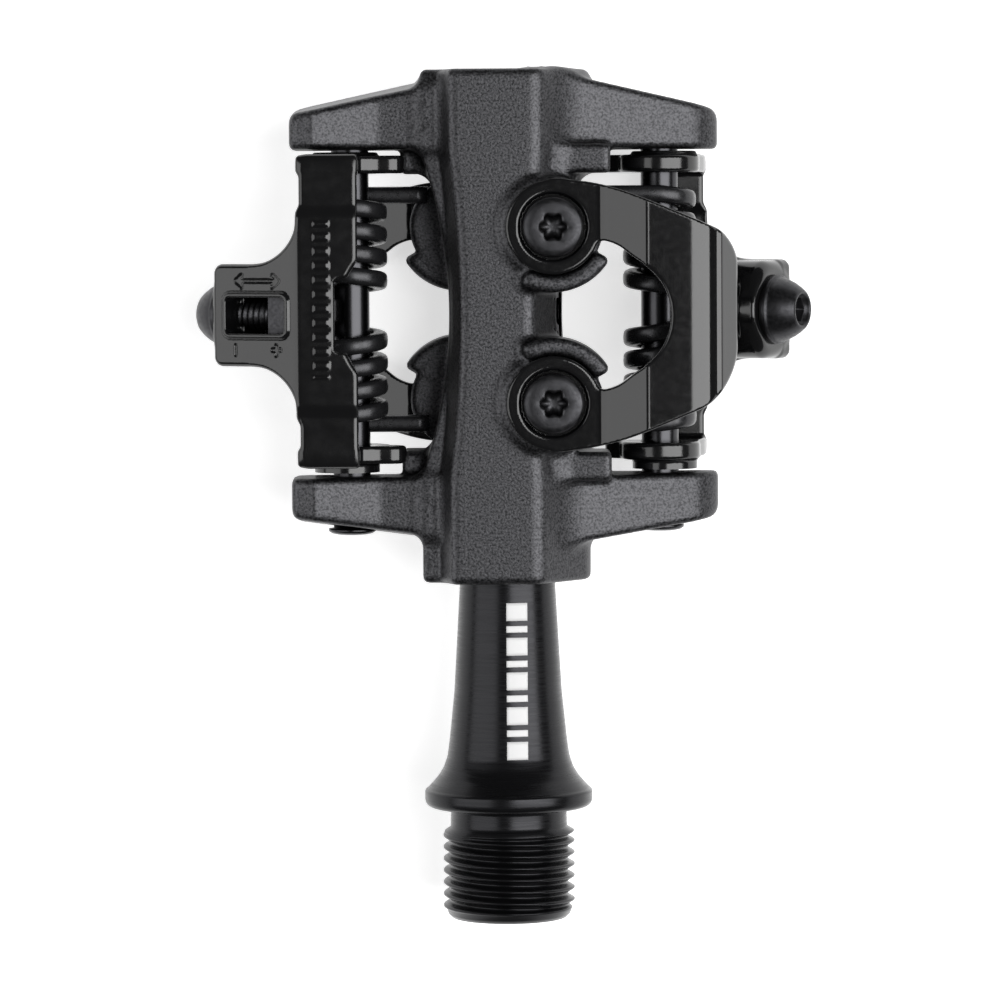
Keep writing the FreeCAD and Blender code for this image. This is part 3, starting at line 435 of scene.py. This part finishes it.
def body_half(x, y, z):
    """The rising wings and the stops for the jaws' arms; the rest follows by half a turn."""
    v = y - CENTRE
    size = np.abs(v)
    # rising wings, towards -X: a flat root, a face that rises to a crease, and a tip that falls
    top = 5.5 + 0.24 * np.clip(-x - 13.5, 0.0, 7.0) - 0.30 * np.maximum(-x - 20.5, 0.0)
    low = -4.0 + 0.303 * (-x - 9.0)
    end = -x - WING_TIP
    height = both(both((z - top) * 0.97, end, 1.0), both((low - z) * 0.957, end, 3.5), 0.5)
    # each wing thins from its root, 9 mm out, to its tip: root and tip thickness outboard and inboard
    share = (-x - 9.0) / 14.2
    thick = np.where(v > 0, 6.9 + (4.1 - 6.9) * share, 6.5 + (4.7 - 6.5) * share)
    inner = WING_FACE - size + 0.035 * np.abs(z - 2.0)
    outer = (size - WING_FACE - thick + 0.09 * (z - 3.0)) * 0.98
    plan = both(both(both(inner, end, 0.8), both(outer, end, 1.3), 0.5), x + 2.0)
    wings = both(plan, height, 0.6)
    # stops for the jaw's arms, one step below the wings' tops
    stop = both(slab(x, -11.2, -5.0), slab(size, 14.85, 18.0), 0.5)
    stop = both(stop, slab(z, -6.0, 2.4), 0.5)
    return either(wings, stop, 0.5)


def seats(x, y, z):
    """Round bosses under the top claw's ears, with the raised fences."""
    v = y - CLAW_CENTRE
    across, along = x - SCREW_X, np.abs(v) - SCREW_HALF_PITCH
    reach = np.sqrt(across**2 + along**2)
    boss = both(reach - 5.35, slab(z, 3.0, 9.0), 0.35)
    # the fence turns round the ear on the side facing the platform's middle
    ring = both(reach - 6.9, 5.15 - reach, 0.3)
    base = both(reach - 6.9, slab(z, 3.0, 9.0), 0.8)
    start = line(across, along, 0.0, 0.0, -math.cos(math.radians(60)), -math.sin(math.radians(60)))
    end = line(across, along, math.cos(math.radians(30)), -math.sin(math.radians(30)), 0.0, 0.0)
    wedge = both(start, end, 0.0)
    fence = both(both(ring, wedge, 0.6), slab(z, 4.0, 10.6), 0.45)
    base = both(base, wedge, 0.6)
    return either(either(boss, base, 0.3), fence, 0.15)


def body_field(x, y, z):
    """The forging: an eight-sided waisted barrel, four wings, four seats and the stops."""
    v = y - CENTRE
    hollow = 51.0
    inside = np.clip(np.abs(v), 0.0, WING_FACE)
    wide = np.minimum(6.05 + hollow - np.sqrt(hollow**2 - inside**2), 9.0)
    share = (9.0 - wide) / 2.95
    flat_left, flat_right = 5.8 - 1.1 * share, 3.6 - 0.8 * share
    barrel = both(np.abs(z) - 8.5, np.abs(x) - wide, 0.6)
    for turn in (1.0, -1.0):
        a, b = x * turn, z * turn
        right = line(a, b, wide, 1.5, flat_right, 8.5)
        # the left side is steep down to a shoulder that carries on the wings' tops
        left = either(line(a, b, -flat_left, 8.5, -flat_left - 1.3, 5.6), b - 5.45, 0.25)
        barrel = both(both(barrel, right, 0.7), left, 0.5)
    barrel = both(barrel, BARREL_START - y, 0.7)
    barrel = both(barrel, y - BARREL_END, 0.7)
    solid = barrel
    for turn in (1.0, -1.0):
        solid = either(solid, body_half(x * turn, y, z * turn), 1.4)
    for turn in (1.0, -1.0):
        solid = either(solid, seats(x * turn, y, z * turn), 1.0)
    reach = np.sqrt(x * x + z * z)
    bore = either(both(reach - 6.6, y - 27.6), both(reach - 5.85, y - 70.0))
    bore = either(bore, both(reach - 6.82, 76.5 - y))
    return without(solid, bore, 0.3)


class PedalLooks(PropertyGroup):
    """Colours and print of the pedal that a user may change."""

    body: StringProperty(name="Body colour", description="sRGB hex of the anodised body",
                         default="#454547")
    spindle: StringProperty(name="Spindle colour", description="sRGB hex of the spindle",
                            default="#202022")
    jaw: StringProperty(name="Jaw colour", description="sRGB hex of the cast jaws",
                        default="#0d0d0e")
    claw: StringProperty(name="Claw colour", description="sRGB hex of the sheet claws",
                         default="#0e0e0f")
    fastener: StringProperty(name="Fastener colour", description="sRGB hex of bolts and screws",
                             default="#3a3a3c")
    spring: StringProperty(name="Spring colour", description="sRGB hex of the springs",
                           default="#2e2e30")


class PedalSizes(PropertyGroup):
    """Sizes of the visible surface that a user may change, in metres."""

    body_cell: FloatProperty(name="Body cell", description="Grid spacing of the body's surface",
                             default=0.00036, min=0.0001, unit="LENGTH", precision=5)
    jaw_cell: FloatProperty(name="Jaw cell", description="Grid spacing of the jaws' surface",
                            default=0.00019, min=0.0001, unit="LENGTH", precision=5)
    claw_cell: FloatProperty(name="Claw cell", description="Grid spacing of the claws' surface",
                             default=0.00018, min=0.0001, unit="LENGTH", precision=5)
    thread_pitch: FloatProperty(name="Thread pitch", description="Pitch of the crank thread",
                                default=0.00127, min=0.0005, unit="LENGTH", precision=5)


class PEDAL_OT_materials(Operator):
    """Makes every material and gives the CAD nodes theirs"""

    bl_idname = "pedal.materials"
    bl_label = "Materials"

    def execute(self, context):
        make_materials(context.scene.pedal_looks)
        slots = {row["node"]: row["material_slot"] for row in frame["record"]["subparts"]}
        for name, obj in frame["nodes"].items():
            obj.data.materials.clear()
            obj.data.materials.append(MATERIALS[slots[name]])
        return {"FINISHED"}


class PEDAL_OT_body(Operator):
    """Builds the forged body"""

    bl_idname = "pedal.body"
    bl_label = "Body"

    def execute(self, context):
        step = context.scene.pedal_sizes.body_cell / MM
        obj = solid_mesh("forged_body", body_field, (-25, BARREL_START - 1.5, -12),
                         (25, BARREL_END + 1.5, 12), step)
        finish_piece(obj, "pedal_body", "bead_blasted_aluminium", ["body"])
        return {"FINISHED"}


# --- claws and their screws ------------------------------------------------------------------------
def claw_field(x, y, z):
    """Bent sheet: a plan outline with two ears and a round mouth, lifted along a bent profile."""
    v = y - CLAW_CENTRE
    size = np.abs(v)
    slope = math.tan(math.radians(29.0))
    middle = CLAW_SEAT + 1.0 + slope * (eased_ramp(x, 9.5, 11.0) - eased_ramp(x, 14.6, 15.2))
    middle = middle - 0.95 * eased_ramp(x, 19.2, 22.0) - 0.75 * eased_ramp(x, 22.1, 22.8)
    tilt = slope * (smoothstep(x, 9.5, 11.0) - smoothstep(x, 14.6, 15.2))
    tilt = tilt - 0.95 * smoothstep(x, 19.2, 22.0) - 0.75 * smoothstep(x, 22.1, 22.8)
    sheet = np.abs(z - middle) / np.sqrt(1.0 + tilt * tilt) - 1.0
    # plan outline of the plate, without its ears
    side = both(size - 14.2, line(x, size, 15.1, 12.4, 11.2, 14.2), 1.5)
    side = both(side, line(x, size, 22.4, 9.9, 15.1, 12.4), 1.0)
    corner = np.where(v > 0, 2.6, 4.2)
    a, b = np.maximum(side + corner, 0.0), np.maximum(x - CLAW_FRONT + corner, 0.0)
    plate = np.minimum(-corner, np.maximum(side, x - CLAW_FRONT)) + np.sqrt(a * a + b * b)
    throat = both(size - 7.9, line(x, size, 14.6, 5.2, 11.2, 7.9), 0.9)
    throat = both(throat, x - 14.6, 0.3)
    mouth = either(throat, disc(x, v, 11.05, 0.0, 6.3), 0.4)
    plate = without(both(plate, 5.0 - x), mouth, 0.3)
    ear = disc(x, size, SCREW_X, SCREW_HALF_PITCH, 5.0)
    outline = either(plate, ear, 0.7)
    claw = both(sheet, outline, 0.22)
    sink = both(disc(x, size, SCREW_X, SCREW_HALF_PITCH, 3.6), CLAW_SEAT + 1.1 - z)
    hole = disc(x, size, SCREW_X, SCREW_HALF_PITCH, 2.1)
    return without(claw, either(sink, hole), 0.12)


def torx_head(sign):
    """Button head: a low dome turned about its axis, with a six-lobed recess.

    The rows run from the rim's foot over the dome and down the recess. In the recess the radius
    follows six lobes: r = r0 (1 + k cos 6a).
    """
    angle = np.linspace(0, 2 * math.pi, 96, endpoint=False)
    base = CLAW_SEAT + 1.14
    rows = [(2.0, base - 4.6, 0), (2.0, base, 0), (3.15, base, 0), (3.2, base + 0.1, 0),
            (3.2, base + 1.15, 0), (3.12, base + 1.45, 0), (2.9, base + 1.62, 0),
            (2.4, base + 1.70, 0), (1.6, base + 1.72, 0.3), (1.34, base + 1.68, 1.0),
            (1.27, base + 1.5, 1.0), (1.22, base + 0.5, 1.0), (0.4, base + 0.3, 0.2)]
    rows = np.array(rows)
    lobes = 1.0 + 0.13 * np.cos(6 * angle)[None, :] * rows[:, 2:3]
    radius = rows[:, 0:1] * lobes
    x = SCREW_X + radius * np.cos(angle)
    y = CLAW_CENTRE + sign * SCREW_HALF_PITCH + radius * np.sin(angle)
    z = np.broadcast_to(rows[:, 1:2], x.shape)
    return np.stack([x, y, z], axis=-1)


class PEDAL_OT_claws(Operator):
    """Builds the two bent front claws and their screws"""

    bl_idname = "pedal.claws"
    bl_label = "Front claws"

    def execute(self, context):
        step = context.scene.pedal_sizes.claw_cell / MM
        for side, turn in SIDES.items():
            obj = solid_mesh(f"bent_claw_{side}", claw_field, (-1.5, CLAW_CENTRE - 16, 6),
                             (CLAW_FRONT + 1, CLAW_CENTRE + 16, 15), step, flip=turn < 0)
            finish_piece(obj, "pedal_body", "black_sheet_steel", [f"front_claw_{side}"])
            for word, sign in (("outboard", 1), ("inboard", -1)):
                screw = grid_mesh(f"claw_screw_{word}_{side}", torx_head(sign), flip=turn < 0)
                finish_piece(screw, "pedal_body", "dark_fastener_steel", [f"claw_screws_{side}"])
        return {"FINISHED"}


# --- jaws ------------------------------------------------------------------------------------------
SLOPE = math.radians(30.0)
BACK = -22.0
BOLT_DEPTH = 4.1


def jaw_field(x, y, z):
    """Cast jaw: a hooking plate that turns down into the tail, two arms on the pin, the tail's box."""
    v = y - CENTRE
    size = np.abs(v - 0.4)
    drop = 0.35 * smoothstep(size, 9.6, 11.4) + 0.10 * np.maximum(size - 14.6, 0.0) ** 2
    # a column of plain raised bars along the plate, in place of lettering
    bars = both(both(slab(x, -20.2, -18.6), slab(v, -6.6, 9.9)), slab(v % 1.5, 0.35, 1.15))
    drop = drop - 0.13 * smoothstep(-bars, -0.1, 0.15)
    top = JAW_TOP - math.tan(SLOPE) * eased_ramp(-x, -BACK - 0.5, -BACK + 0.5) - drop
    tilt = math.tan(SLOPE) * smoothstep(-x, -BACK - 0.5, -BACK + 0.5)
    level = np.sqrt(1.0 + tilt * tilt)
    under = top - 2.1 * level
    shell = both((z - top) / level, (under - z) / level, 0.3)
    # position along and below the tail's face
    along = -(x - BACK) * math.cos(SLOPE) - (z - JAW_TOP) * math.sin(SLOPE)
    down = (x - BACK) * math.sin(SLOPE) - (z - JAW_TOP) * math.cos(SLOPE)
    # plan outline: the plate, a hollow flank on each side, and the tail
    reach = np.abs(v)
    ends = both(v - (JAW_SIDES[1] - CENTRE), (JAW_SIDES[0] - CENTRE) - v)
    edge = -22.1 + 0.4 * smoothstep(reach, 10.6, 11.8)
    wide = both(ends, edge - x, 1.0)
    flank = disc(x, reach, BACK - 5.2, 10.5, 5.2)
    web = both(both(reach - 10.5, BACK - 5.2 - x), x - BACK - 0.6)
    web = without(web, flank)
    tail = both(both(reach - 5.3, along - 10.4, 0.9), x - BACK - 1.0)
    outline = either(either(wide, web, 0.15), tail, 0.1)
    outline = both(outline, x + 15.6, 0.3)
    outline = without(outline, disc(x, y, -17.6 + 9.4, CLAW_CENTRE, 9.4), 0.35)
    plate = both(shell, outline, 0.35)
    # below its face the tail is a closed rounded box with a round collar where the bolt goes in
    floor = np.minimum(3.0 + 1.5 * along, 7.45)
    box = both(both(reach - 5.3, (down - floor) * 0.8, 2.0), slab(along, 0.3, 10.4), 0.9)
    box = both(box, 0.5 - down)
    bolt = np.sqrt(v * v + (down - BOLT_DEPTH) ** 2)
    box = either(box, both(both(bolt - 4.6, slab(along, 8.3, 10.4), 0.4), 0.5 - down), 0.8)
    cavity = both(both(reach - 3.95, slab(down, 2.1, 6.9), 0.5), along - 8.2, 0.5)
    plate = without(either(plate, box, 0.4), cavity, 0.15)
    # raised rim of the window and the window
    reach_along, reach_side = np.abs(along - 5.05) - 3.65, np.abs(v) - 1.9
    window = both(reach_along, reach_side, 0.5)
    rim = both(window - 0.55, slab(down, -0.35, 1.0), 0.2)
    plate = either(plate, rim, 0.15)
    plate = without(plate, both(window, down - 2.6), 0.15)
    # plus and minus signs and a two-headed arrow beside the window, cut into the face
    signs = both(slab(along, 7.45, 7.8), slab(v, -4.3, -3.0))
    for cross in (both(slab(along, 2.35, 2.7), slab(v, -4.3, -3.0)),
                  both(slab(along, 1.85, 3.2), slab(v, -3.83, -3.47)),
                  capsule(along, v, 2.2, 3.65, 7.6, 3.65, 0.17),
                  capsule(along, np.abs(v - 3.65), 2.2, 0.0, 3.0, 0.6, 0.17),
                  capsule(along, np.abs(v - 3.65), 7.6, 0.0, 6.8, 0.6, 0.17)):
        signs = np.minimum(signs, cross)
    plate = without(plate, both(signs, slab(down, -0.5, 0.16)))
    plate = without(plate, both(bolt - 1.8, 8.0 - along))
    # arms round the pin
    lug = disc(x, z, PIN_X, PIN_Z, 4.3)
    lift = both(both(x + 15.6, BACK - x, 0.8), slab(z, PIN_Z, JAW_TOP - 0.6), 0.3)
    lift = both(lift, line(x, z, BACK, 9.0, PIN_X - 4.1, PIN_Z + 1.0), 0.5)
    arm = either(either(lug, lift, 0.8), capsule(x, z, PIN_X + 2, PIN_Z + 2.2, -12.4, 4.2, 1.7), 0.8)
    out, inn = JAW_SIDES[1] - CENTRE, JAW_SIDES[0] - CENTRE
    sides = either(slab(v, out - 1.9, out), slab(v, inn, inn + 1.9))
    # a washer face on each lug reaches almost to the wing
    face = both(disc(x, z, PIN_X - 0.5, PIN_Z, 3.5), slab(reach, 15.0, WING_FACE - 0.17), 0.2)
    arms = either(both(arm, sides, 0.4), face, 0.3)
    arms = without(arms, disc(x, z, PIN_X, PIN_Z, 2.04))
    return either(plate, arms, 0.5)


class PEDAL_OT_jaws(Operator):
    """Builds the two sprung rear jaws"""

    bl_idname = "pedal.jaws"
    bl_label = "Rear jaws"

    def execute(self, context):
        step = context.scene.pedal_sizes.jaw_cell / MM
        for side, turn in SIDES.items():
            obj = solid_mesh(f"cast_jaw_{side}", jaw_field, (-33, JAW_SIDES[0] - 1, -3.5),
                             (-9, JAW_SIDES[1] + 1, 14), step, flip=turn < 0)
            finish_piece(obj, f"rear_jaw_{side}", "black_cast_steel", [f"rear_jaw_{side}"])
        return {"FINISHED"}


# --- springs ---------------------------------------------------------------------------------------
SPRING_MIDDLE = CENTRE + 0.3


def wire_skin(path, wide, tall, binormal):
    """A wire of rounded-square section carried along a path.

    Section: a superellipse of power 4, its height across the coil and its width along the pin.
    """
    angle = np.linspace(0, 2 * math.pi, 20, endpoint=False)
    cosine, sine = np.cos(angle), np.sin(angle)
    across = np.sign(cosine) * np.abs(cosine) ** 0.6 * wide / 2
    up = np.sign(sine) * np.abs(sine) ** 0.6 * tall / 2
    tangent = np.gradient(path, axis=0)
    tangent /= np.linalg.norm(tangent, axis=1)[:, None]
    side = np.broadcast_to(np.asarray(binormal, float), path.shape)
    side = side - (side * tangent).sum(axis=1)[:, None] * tangent
    side /= np.linalg.norm(side, axis=1)[:, None]
    other = np.cross(tangent, side)
    return path[:, None] + across[None, :, None] * side[:, None] + up[None, :, None] * other[:, None]


def spring_path(sign):
    """Coil about the jaw pin: an inner leg that comes down on the left, turns, a leg to the barrel."""
    radius, turns, pitch = 3.05, 4.25, 2.43
    first = SPRING_MIDDLE + sign * 1.96
    share = np.linspace(0, 1, int(turns * 28) + 1)
    angle = math.pi + 2 * math.pi * turns * share
    coil = np.stack([PIN_X + radius * np.cos(angle), first + sign * pitch * turns * share,
                     PIN_Z + radius * np.sin(angle)], axis=1)
    steps = np.linspace(0, 1, 8)[:, None]
    foot = coil[0] + np.array([0.0, 0.0, 3.6])
    inner = foot + (coil[0] - foot) * steps[:-1]
    tip = np.array([-8.35, coil[-1][1], coil[-1][2]])
    outer = coil[-1] + (tip - coil[-1]) * steps[1:]
    return np.vstack([inner, coil, outer])


class PEDAL_OT_springs(Operator):
    """Builds the four torsion springs, each coiled round a jaw pin with a leg to the barrel"""

    bl_idname = "pedal.springs"
    bl_label = "Springs"

    def execute(self, context):
        for side, turn in SIDES.items():
            for word, sign in (("outboard", 1), ("inboard", -1)):
                name = f"spring_{word}_{side}"
                points = wire_skin(spring_path(sign), 1.85, 1.8, (0, 1, 0))
                obj = grid_mesh(f"coil_{word}_{side}", points, flip=turn < 0)
                obj.data.materials.append(MATERIALS["spring_steel"])
                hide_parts(name)
                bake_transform(obj)
        return {"FINISHED"}


# --- spindle ---------------------------------------------------------------------------------------
def hexagon_radius(angle, flats):
    """Distance from the middle to the side of a hexagon, at an angle."""
    sixth = math.pi / 3
    return flats / 2 / np.cos((angle + sixth / 2) % sixth - sixth / 2)


def spindle_points(pitch):
    """The spindle turned about Y, as rows along its profile and columns round it.

    On the thread the radius falls from crest to root along a rounded V that climbs one pitch a turn,
    and it fades out at both ends of the thread.
    """
    angle = np.linspace(0, 2 * math.pi, 96, endpoint=False)
    rim = 1.7
    end = THREAD_END
    thread = np.arange(end + 0.9, -2.6, pitch / 14)
    head = np.array([(4.7, end), (5.9, end), (6.2, end), (6.6, end + 0.4)])
    neck = [(6.3, -2.2), (6.25, -0.35), (6.4, -0.05), (8.1, 0.0), (8.6, 0.08), (8.95, 0.4),
            (FLANGE_RADIUS, 0.8), (FLANGE_RADIUS, rim), (8.95, rim + 0.18), (8.7, rim + 0.35),
            (8.35, rim + 0.75), (7.6, rim + 1.6), (7.0, rim + 2.6), (6.6, rim + 3.8), (6.42, rim + 5.0),
            (6.3, rim + 6.0), (5.8, 12.6), (5.15, 24.0), (5.15, 27.5), (4.75, 27.6), (4.75, 39.6),
            (4.45, 39.8), (4.45, 65.5), (3.0, 65.6), (3.0, 70.6), (2.5, 70.7), (2.5, SPINDLE_END - 0.3),
            (2.2, SPINDLE_END)]
    body = densify(rounded(neck, 0.25, 3), 0.8)
    inside = [(0.0, end + 7.0), (1.0, end + 7.0), (1.0, end + 6.9), (1.0, end + 0.45),
              (1.0, end + 0.05)]
    rows = []
    hexed = hexagon_radius(angle, 8.0)
    for share, place in inside:
        rows.append(np.stack([hexed * share, np.full_like(angle, place)], axis=-1))
    rows.append(np.stack([hexed + 0.12, np.full_like(angle, end)], axis=-1))
    for radius, place in head[1:]:
        rows.append(np.stack([np.full_like(angle, radius), np.full_like(angle, place)], axis=-1))
    turns = (thread[:, None] - end) / pitch - angle[None, :] / (2 * math.pi)
    saw = np.abs((turns % 1.0) - 0.5) * 2.0
    depth = np.clip((saw - 0.12) / 0.76, 0.0, 1.0)
    depth = depth * depth * (3 - 2 * depth) * 0.35 + depth * 0.65
    fade = smoothstep(thread, end + 0.9, end + 1.5) * (1 - smoothstep(thread, -3.2, -2.7))
    crest = 7.1 - 0.5 * (1 - smoothstep(thread, end + 0.6, end + 1.2))
    cut = 0.72 * depth
    radius = crest[:, None] - cut * (0.25 + 0.75 * fade[:, None])
    for r, place in zip(radius, thread):
        rows.append(np.stack([r, np.full_like(angle, place)], axis=-1))
    for r, place in body:
        rows.append(np.stack([np.full_like(angle, r), np.full_like(angle, place)], axis=-1))
    rows = np.stack(rows)
    return np.stack([rows[..., 0] * np.cos(angle), rows[..., 1], rows[..., 0] * np.sin(angle)], axis=-1)


def ink_bar(low, high):
    """A bar of ink on the shank: a thin closed shell over z = sqrt(r(y)^2 - x^2), r the shank's."""
    y, x = np.meshgrid(np.linspace(low, high, 6), np.linspace(-0.15, 2.1, 9), indexing="ij")
    radius = np.interp(y, [5.5, 6.7, 7.7, 12.6, 24.0], [6.6, 6.42, 6.3, 5.8, 5.15])
    top = np.stack([x, y, np.sqrt((radius + 0.03) ** 2 - x * x)], axis=-1)
    under = np.stack([x, y, np.sqrt((radius - 0.05) ** 2 - x * x)], axis=-1)
    return np.concatenate([top, under[:, ::-1]], axis=1)


INK_LENGTHS = (1.9, 0.7, 1.9, 0.7, 1.9, 0.7, 1.9, 0.7, 1.9)


class PEDAL_OT_spindle(Operator):
    """Builds the spindle with its thread and hex socket, and its plain printed bars"""

    bl_idname = "pedal.spindle"
    bl_label = "Spindle"

    def execute(self, context):
        pitch = context.scene.pedal_sizes.thread_pitch / MM
        obj = grid_mesh("turned_spindle", spindle_points(pitch))
        finish_piece(obj, "spindle", "black_steel", ["spindle"])
        # plain bars of unequal length, in place of the printed name
        places = np.cumsum([5.7] + [length + 0.55 for length in INK_LENGTHS[:-1]])
        bars = [ink_bar(low, low + length) for low, length in zip(places, INK_LENGTHS)]
        # the record has no slot for ink, so the bars have none
        ink = grid_mesh("ink_bars", *bars)
        ink.data.materials.append(MATERIALS["white_ink"])
        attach(ink, "spindle")
        return {"FINISHED"}


# --- bolts, pins -----------------------------------------------------------------------------------
def bolt_points():
    """Tension bolt: a domed head with a hex socket, then a threaded shank, turned about its axis."""
    angle = np.linspace(0, 2 * math.pi, 72, endpoint=False)
    hexed = hexagon_radius(angle, 3.4)
    head = 10.4
    rows = [(0.0, head + 1.0, 1), (0.73, head + 1.05, 1), (0.75, head + 2.95, 1), (0.77, head + 3.0, 1),
            (1.62, head + 3.02, 0), (1.66, head + 3.45, 0), (1.8, head + 3.6, 0), (2.0, head + 3.6, 0),
            (2.2, head + 3.45, 0), (2.6, head + 2.95, 0), (3.0, head + 2.3, 0), (3.3, head + 1.65, 0),
            (3.45, head + 1.2, 0), (3.5, head + 0.95, 0), (3.6, head + 0.86, 0), (3.75, head + 0.8, 0),
            (3.78, head + 0.6, 0), (3.75, head + 0.2, 0), (3.6, head + 0.06, 0), (1.75, head + 0.05, 0)]
    points = []
    for size, place, hexagonal in rows:
        radius = hexed * size if hexagonal else np.full_like(angle, size)
        points.append(np.stack([radius, np.full_like(angle, place)], axis=-1))
    thread = np.arange(head - 0.3, 0.5, -0.06)
    turns = thread[:, None] / 0.7 - angle[None, :] / (2 * math.pi)
    depth = np.abs((turns % 1.0) - 0.5) * 2.0
    for depths, place in zip(depth, thread):
        points.append(np.stack([1.75 - 0.3 * depths, np.full_like(angle, place)], axis=-1))
    rows = np.stack(points)
    r, s = rows[..., 0], rows[..., 1]
    # the axis runs down the tail, below its face
    ax, az = BACK + BOLT_DEPTH * math.sin(SLOPE), JAW_TOP - BOLT_DEPTH * math.cos(SLOPE)
    out = np.array([-math.cos(SLOPE), 0.0, -math.sin(SLOPE)])
    up = np.array([-math.sin(SLOPE), 0.0, math.cos(SLOPE)])
    side = np.array([0.0, 1.0, 0.0])
    base = np.array([ax, CENTRE, az])
    return (base + s[..., None] * out + (r * np.cos(angle))[..., None] * side
            + (r * np.sin(angle))[..., None] * up)


def pin_points():
    """Jaw pin with a low domed head on its inboard end."""
    angle = np.linspace(0, 2 * math.pi, 64, endpoint=False)
    low, high = span("jaw_pin_top", 1)
    rows = [(0.6, low), (1.6, low + 0.05), (2.2, low + 0.18), (2.55, low + 0.42), (2.55, low + 0.7),
            (2.0, low + 0.75), (2.0, high - 0.4), (1.7, high)]
    rows = densify(rows, 2.0)
    r, y = rows[:, 0:1], rows[:, 1:2]
    return np.stack([PIN_X + r * np.cos(angle), np.broadcast_to(y, (len(rows), len(angle))),
                     PIN_Z + r * np.sin(angle)], axis=-1)


class PEDAL_OT_fasteners(Operator):
    """Builds the tension bolts and the jaw pins"""

    bl_idname = "pedal.fasteners"
    bl_label = "Bolts and pins"

    def execute(self, context):
        for side, turn in SIDES.items():
            obj = grid_mesh(f"hex_bolt_{side}", bolt_points(), flip=turn < 0)
            finish_piece(obj, f"tension_bolt_{side}", "dark_fastener_steel", [f"tension_bolt_{side}"])
            obj = grid_mesh(f"headed_pin_{side}", pin_points(), flip=turn < 0)
            finish_piece(obj, "pedal_body", "pin_steel", [f"jaw_pin_{side}"])
        return {"FINISHED"}


# --- stage -----------------------------------------------------------------------------------------
def area_light(name, direction, distance, size, power, target):
    """A soft square light that looks at the pedal from a direction."""
    data = bpy.data.lights.new(name, "AREA")
    data.shape = "RECTANGLE"
    data.size, data.size_y = size
    data.energy = power
    obj = bpy.data.objects.new(name, data)
    bpy.context.scene.collection.objects.link(obj)
    direction = Vector(direction).normalized()
    obj.location = Vector(target) + direction * distance
    obj.rotation_euler = direction.to_track_quat("Z", "Y").to_euler()
    return obj


class PEDAL_OT_stage(Operator):
    """Sets the pale floor, the soft lights and the camera"""

    bl_idname = "pedal.stage"
    bl_label = "Stage"

    def execute(self, context):
        scene = context.scene
        low = CAD_BOX[0][2]
        half = 1.5
        points = np.array([(-half, -half, low), (half, -half, low), (half, half, low),
                           (-half, half, low)]) / MM
        floor = new_object("floor", points, np.array([[0, 1, 2, 3]]), smooth=False)
        material, _ = new_material("pale_paper", Base_Color=linear("#f4f4f4"), Roughness=0.9,
                                   Emission_Color=linear("#ffffff"), Emission_Strength=0.6)
        floor.data.materials.append(material)
        world = bpy.data.worlds.new("studio")
        world.use_nodes = True
        background = world.node_tree.nodes["Background"]
        background.inputs["Color"].default_value = (1, 1, 1, 1)
        background.inputs["Strength"].default_value = 0.08
        scene.world = world
        scene.view_settings.view_transform = "Standard"
        target = (0, CENTRE * MM, 0)
        right = (math.sin(math.radians(35)), 0, math.cos(math.radians(35)))
        left = (-math.sin(math.radians(52)), 0, math.cos(math.radians(52)))
        area_light("key", right, 0.9, (0.48, 1.0), 8.8, target)
        area_light("fill", left, 0.9, (0.60, 1.0), 4.3, target)
        # camera above the pedal, leaning so that the foot of its axis is outboard of the middle
        data = bpy.data.cameras.new("camera")
        data.lens = 175.0
        data.sensor_width = 36.0
        camera = bpy.data.objects.new("camera", data)
        scene.collection.objects.link(camera)
        place = Vector((0.0, 65.5, 523.0)) * MM
        aim = Vector((-0.752688, 33.134409, 0.0)) * MM
        back = (place - aim).normalized()
        right = Vector((0, 1, 0)).cross(back).normalized()
        rotation = Matrix((right, back.cross(right), back)).transposed()
        roll = Matrix.Rotation(math.radians(-0.35), 3, "Z")
        camera.matrix_world = Matrix.Translation(place) @ (rotation @ roll).to_4x4()
        scene.camera = camera
        return {"FINISHED"}


class PEDAL_PT_panel(Panel):
    """Lists the pedal's pieces"""

    bl_idname = "PEDAL_PT_panel"
    bl_label = "Clipless pedal"
    bl_space_type = "VIEW_3D"
    bl_region_type = "UI"
    bl_category = "Pedal"

    def draw(self, context):
        for operator in BUILD_ORDER:
            self.layout.operator(operator.bl_idname)
        for group in (context.scene.pedal_looks, context.scene.pedal_sizes):
            for name in group.__annotations__:
                self.layout.prop(group, name)


BUILD_ORDER = (PEDAL_OT_materials, PEDAL_OT_body, PEDAL_OT_claws, PEDAL_OT_jaws, PEDAL_OT_springs,
               PEDAL_OT_spindle, PEDAL_OT_fasteners, PEDAL_OT_stage)
CLASSES = (PedalLooks, PedalSizes) + BUILD_ORDER + (PEDAL_PT_panel,)


def register():
    for cls in CLASSES:
        bpy.utils.register_class(cls)
    bpy.types.Scene.pedal_looks = PointerProperty(type=PedalLooks)
    bpy.types.Scene.pedal_sizes = PointerProperty(type=PedalSizes)


def unregister():
    del bpy.types.Scene.pedal_sizes
    del bpy.types.Scene.pedal_looks
    for cls in reversed(CLASSES):
        bpy.utils.unregister_class(cls)


def main():
    register()
    for operator in BUILD_ORDER:
        group, name = operator.bl_idname.split(".")
        getattr(getattr(bpy.ops, group), name)()
    bpy.context.view_layer.update()


if __name__ == "__main__":
    main()
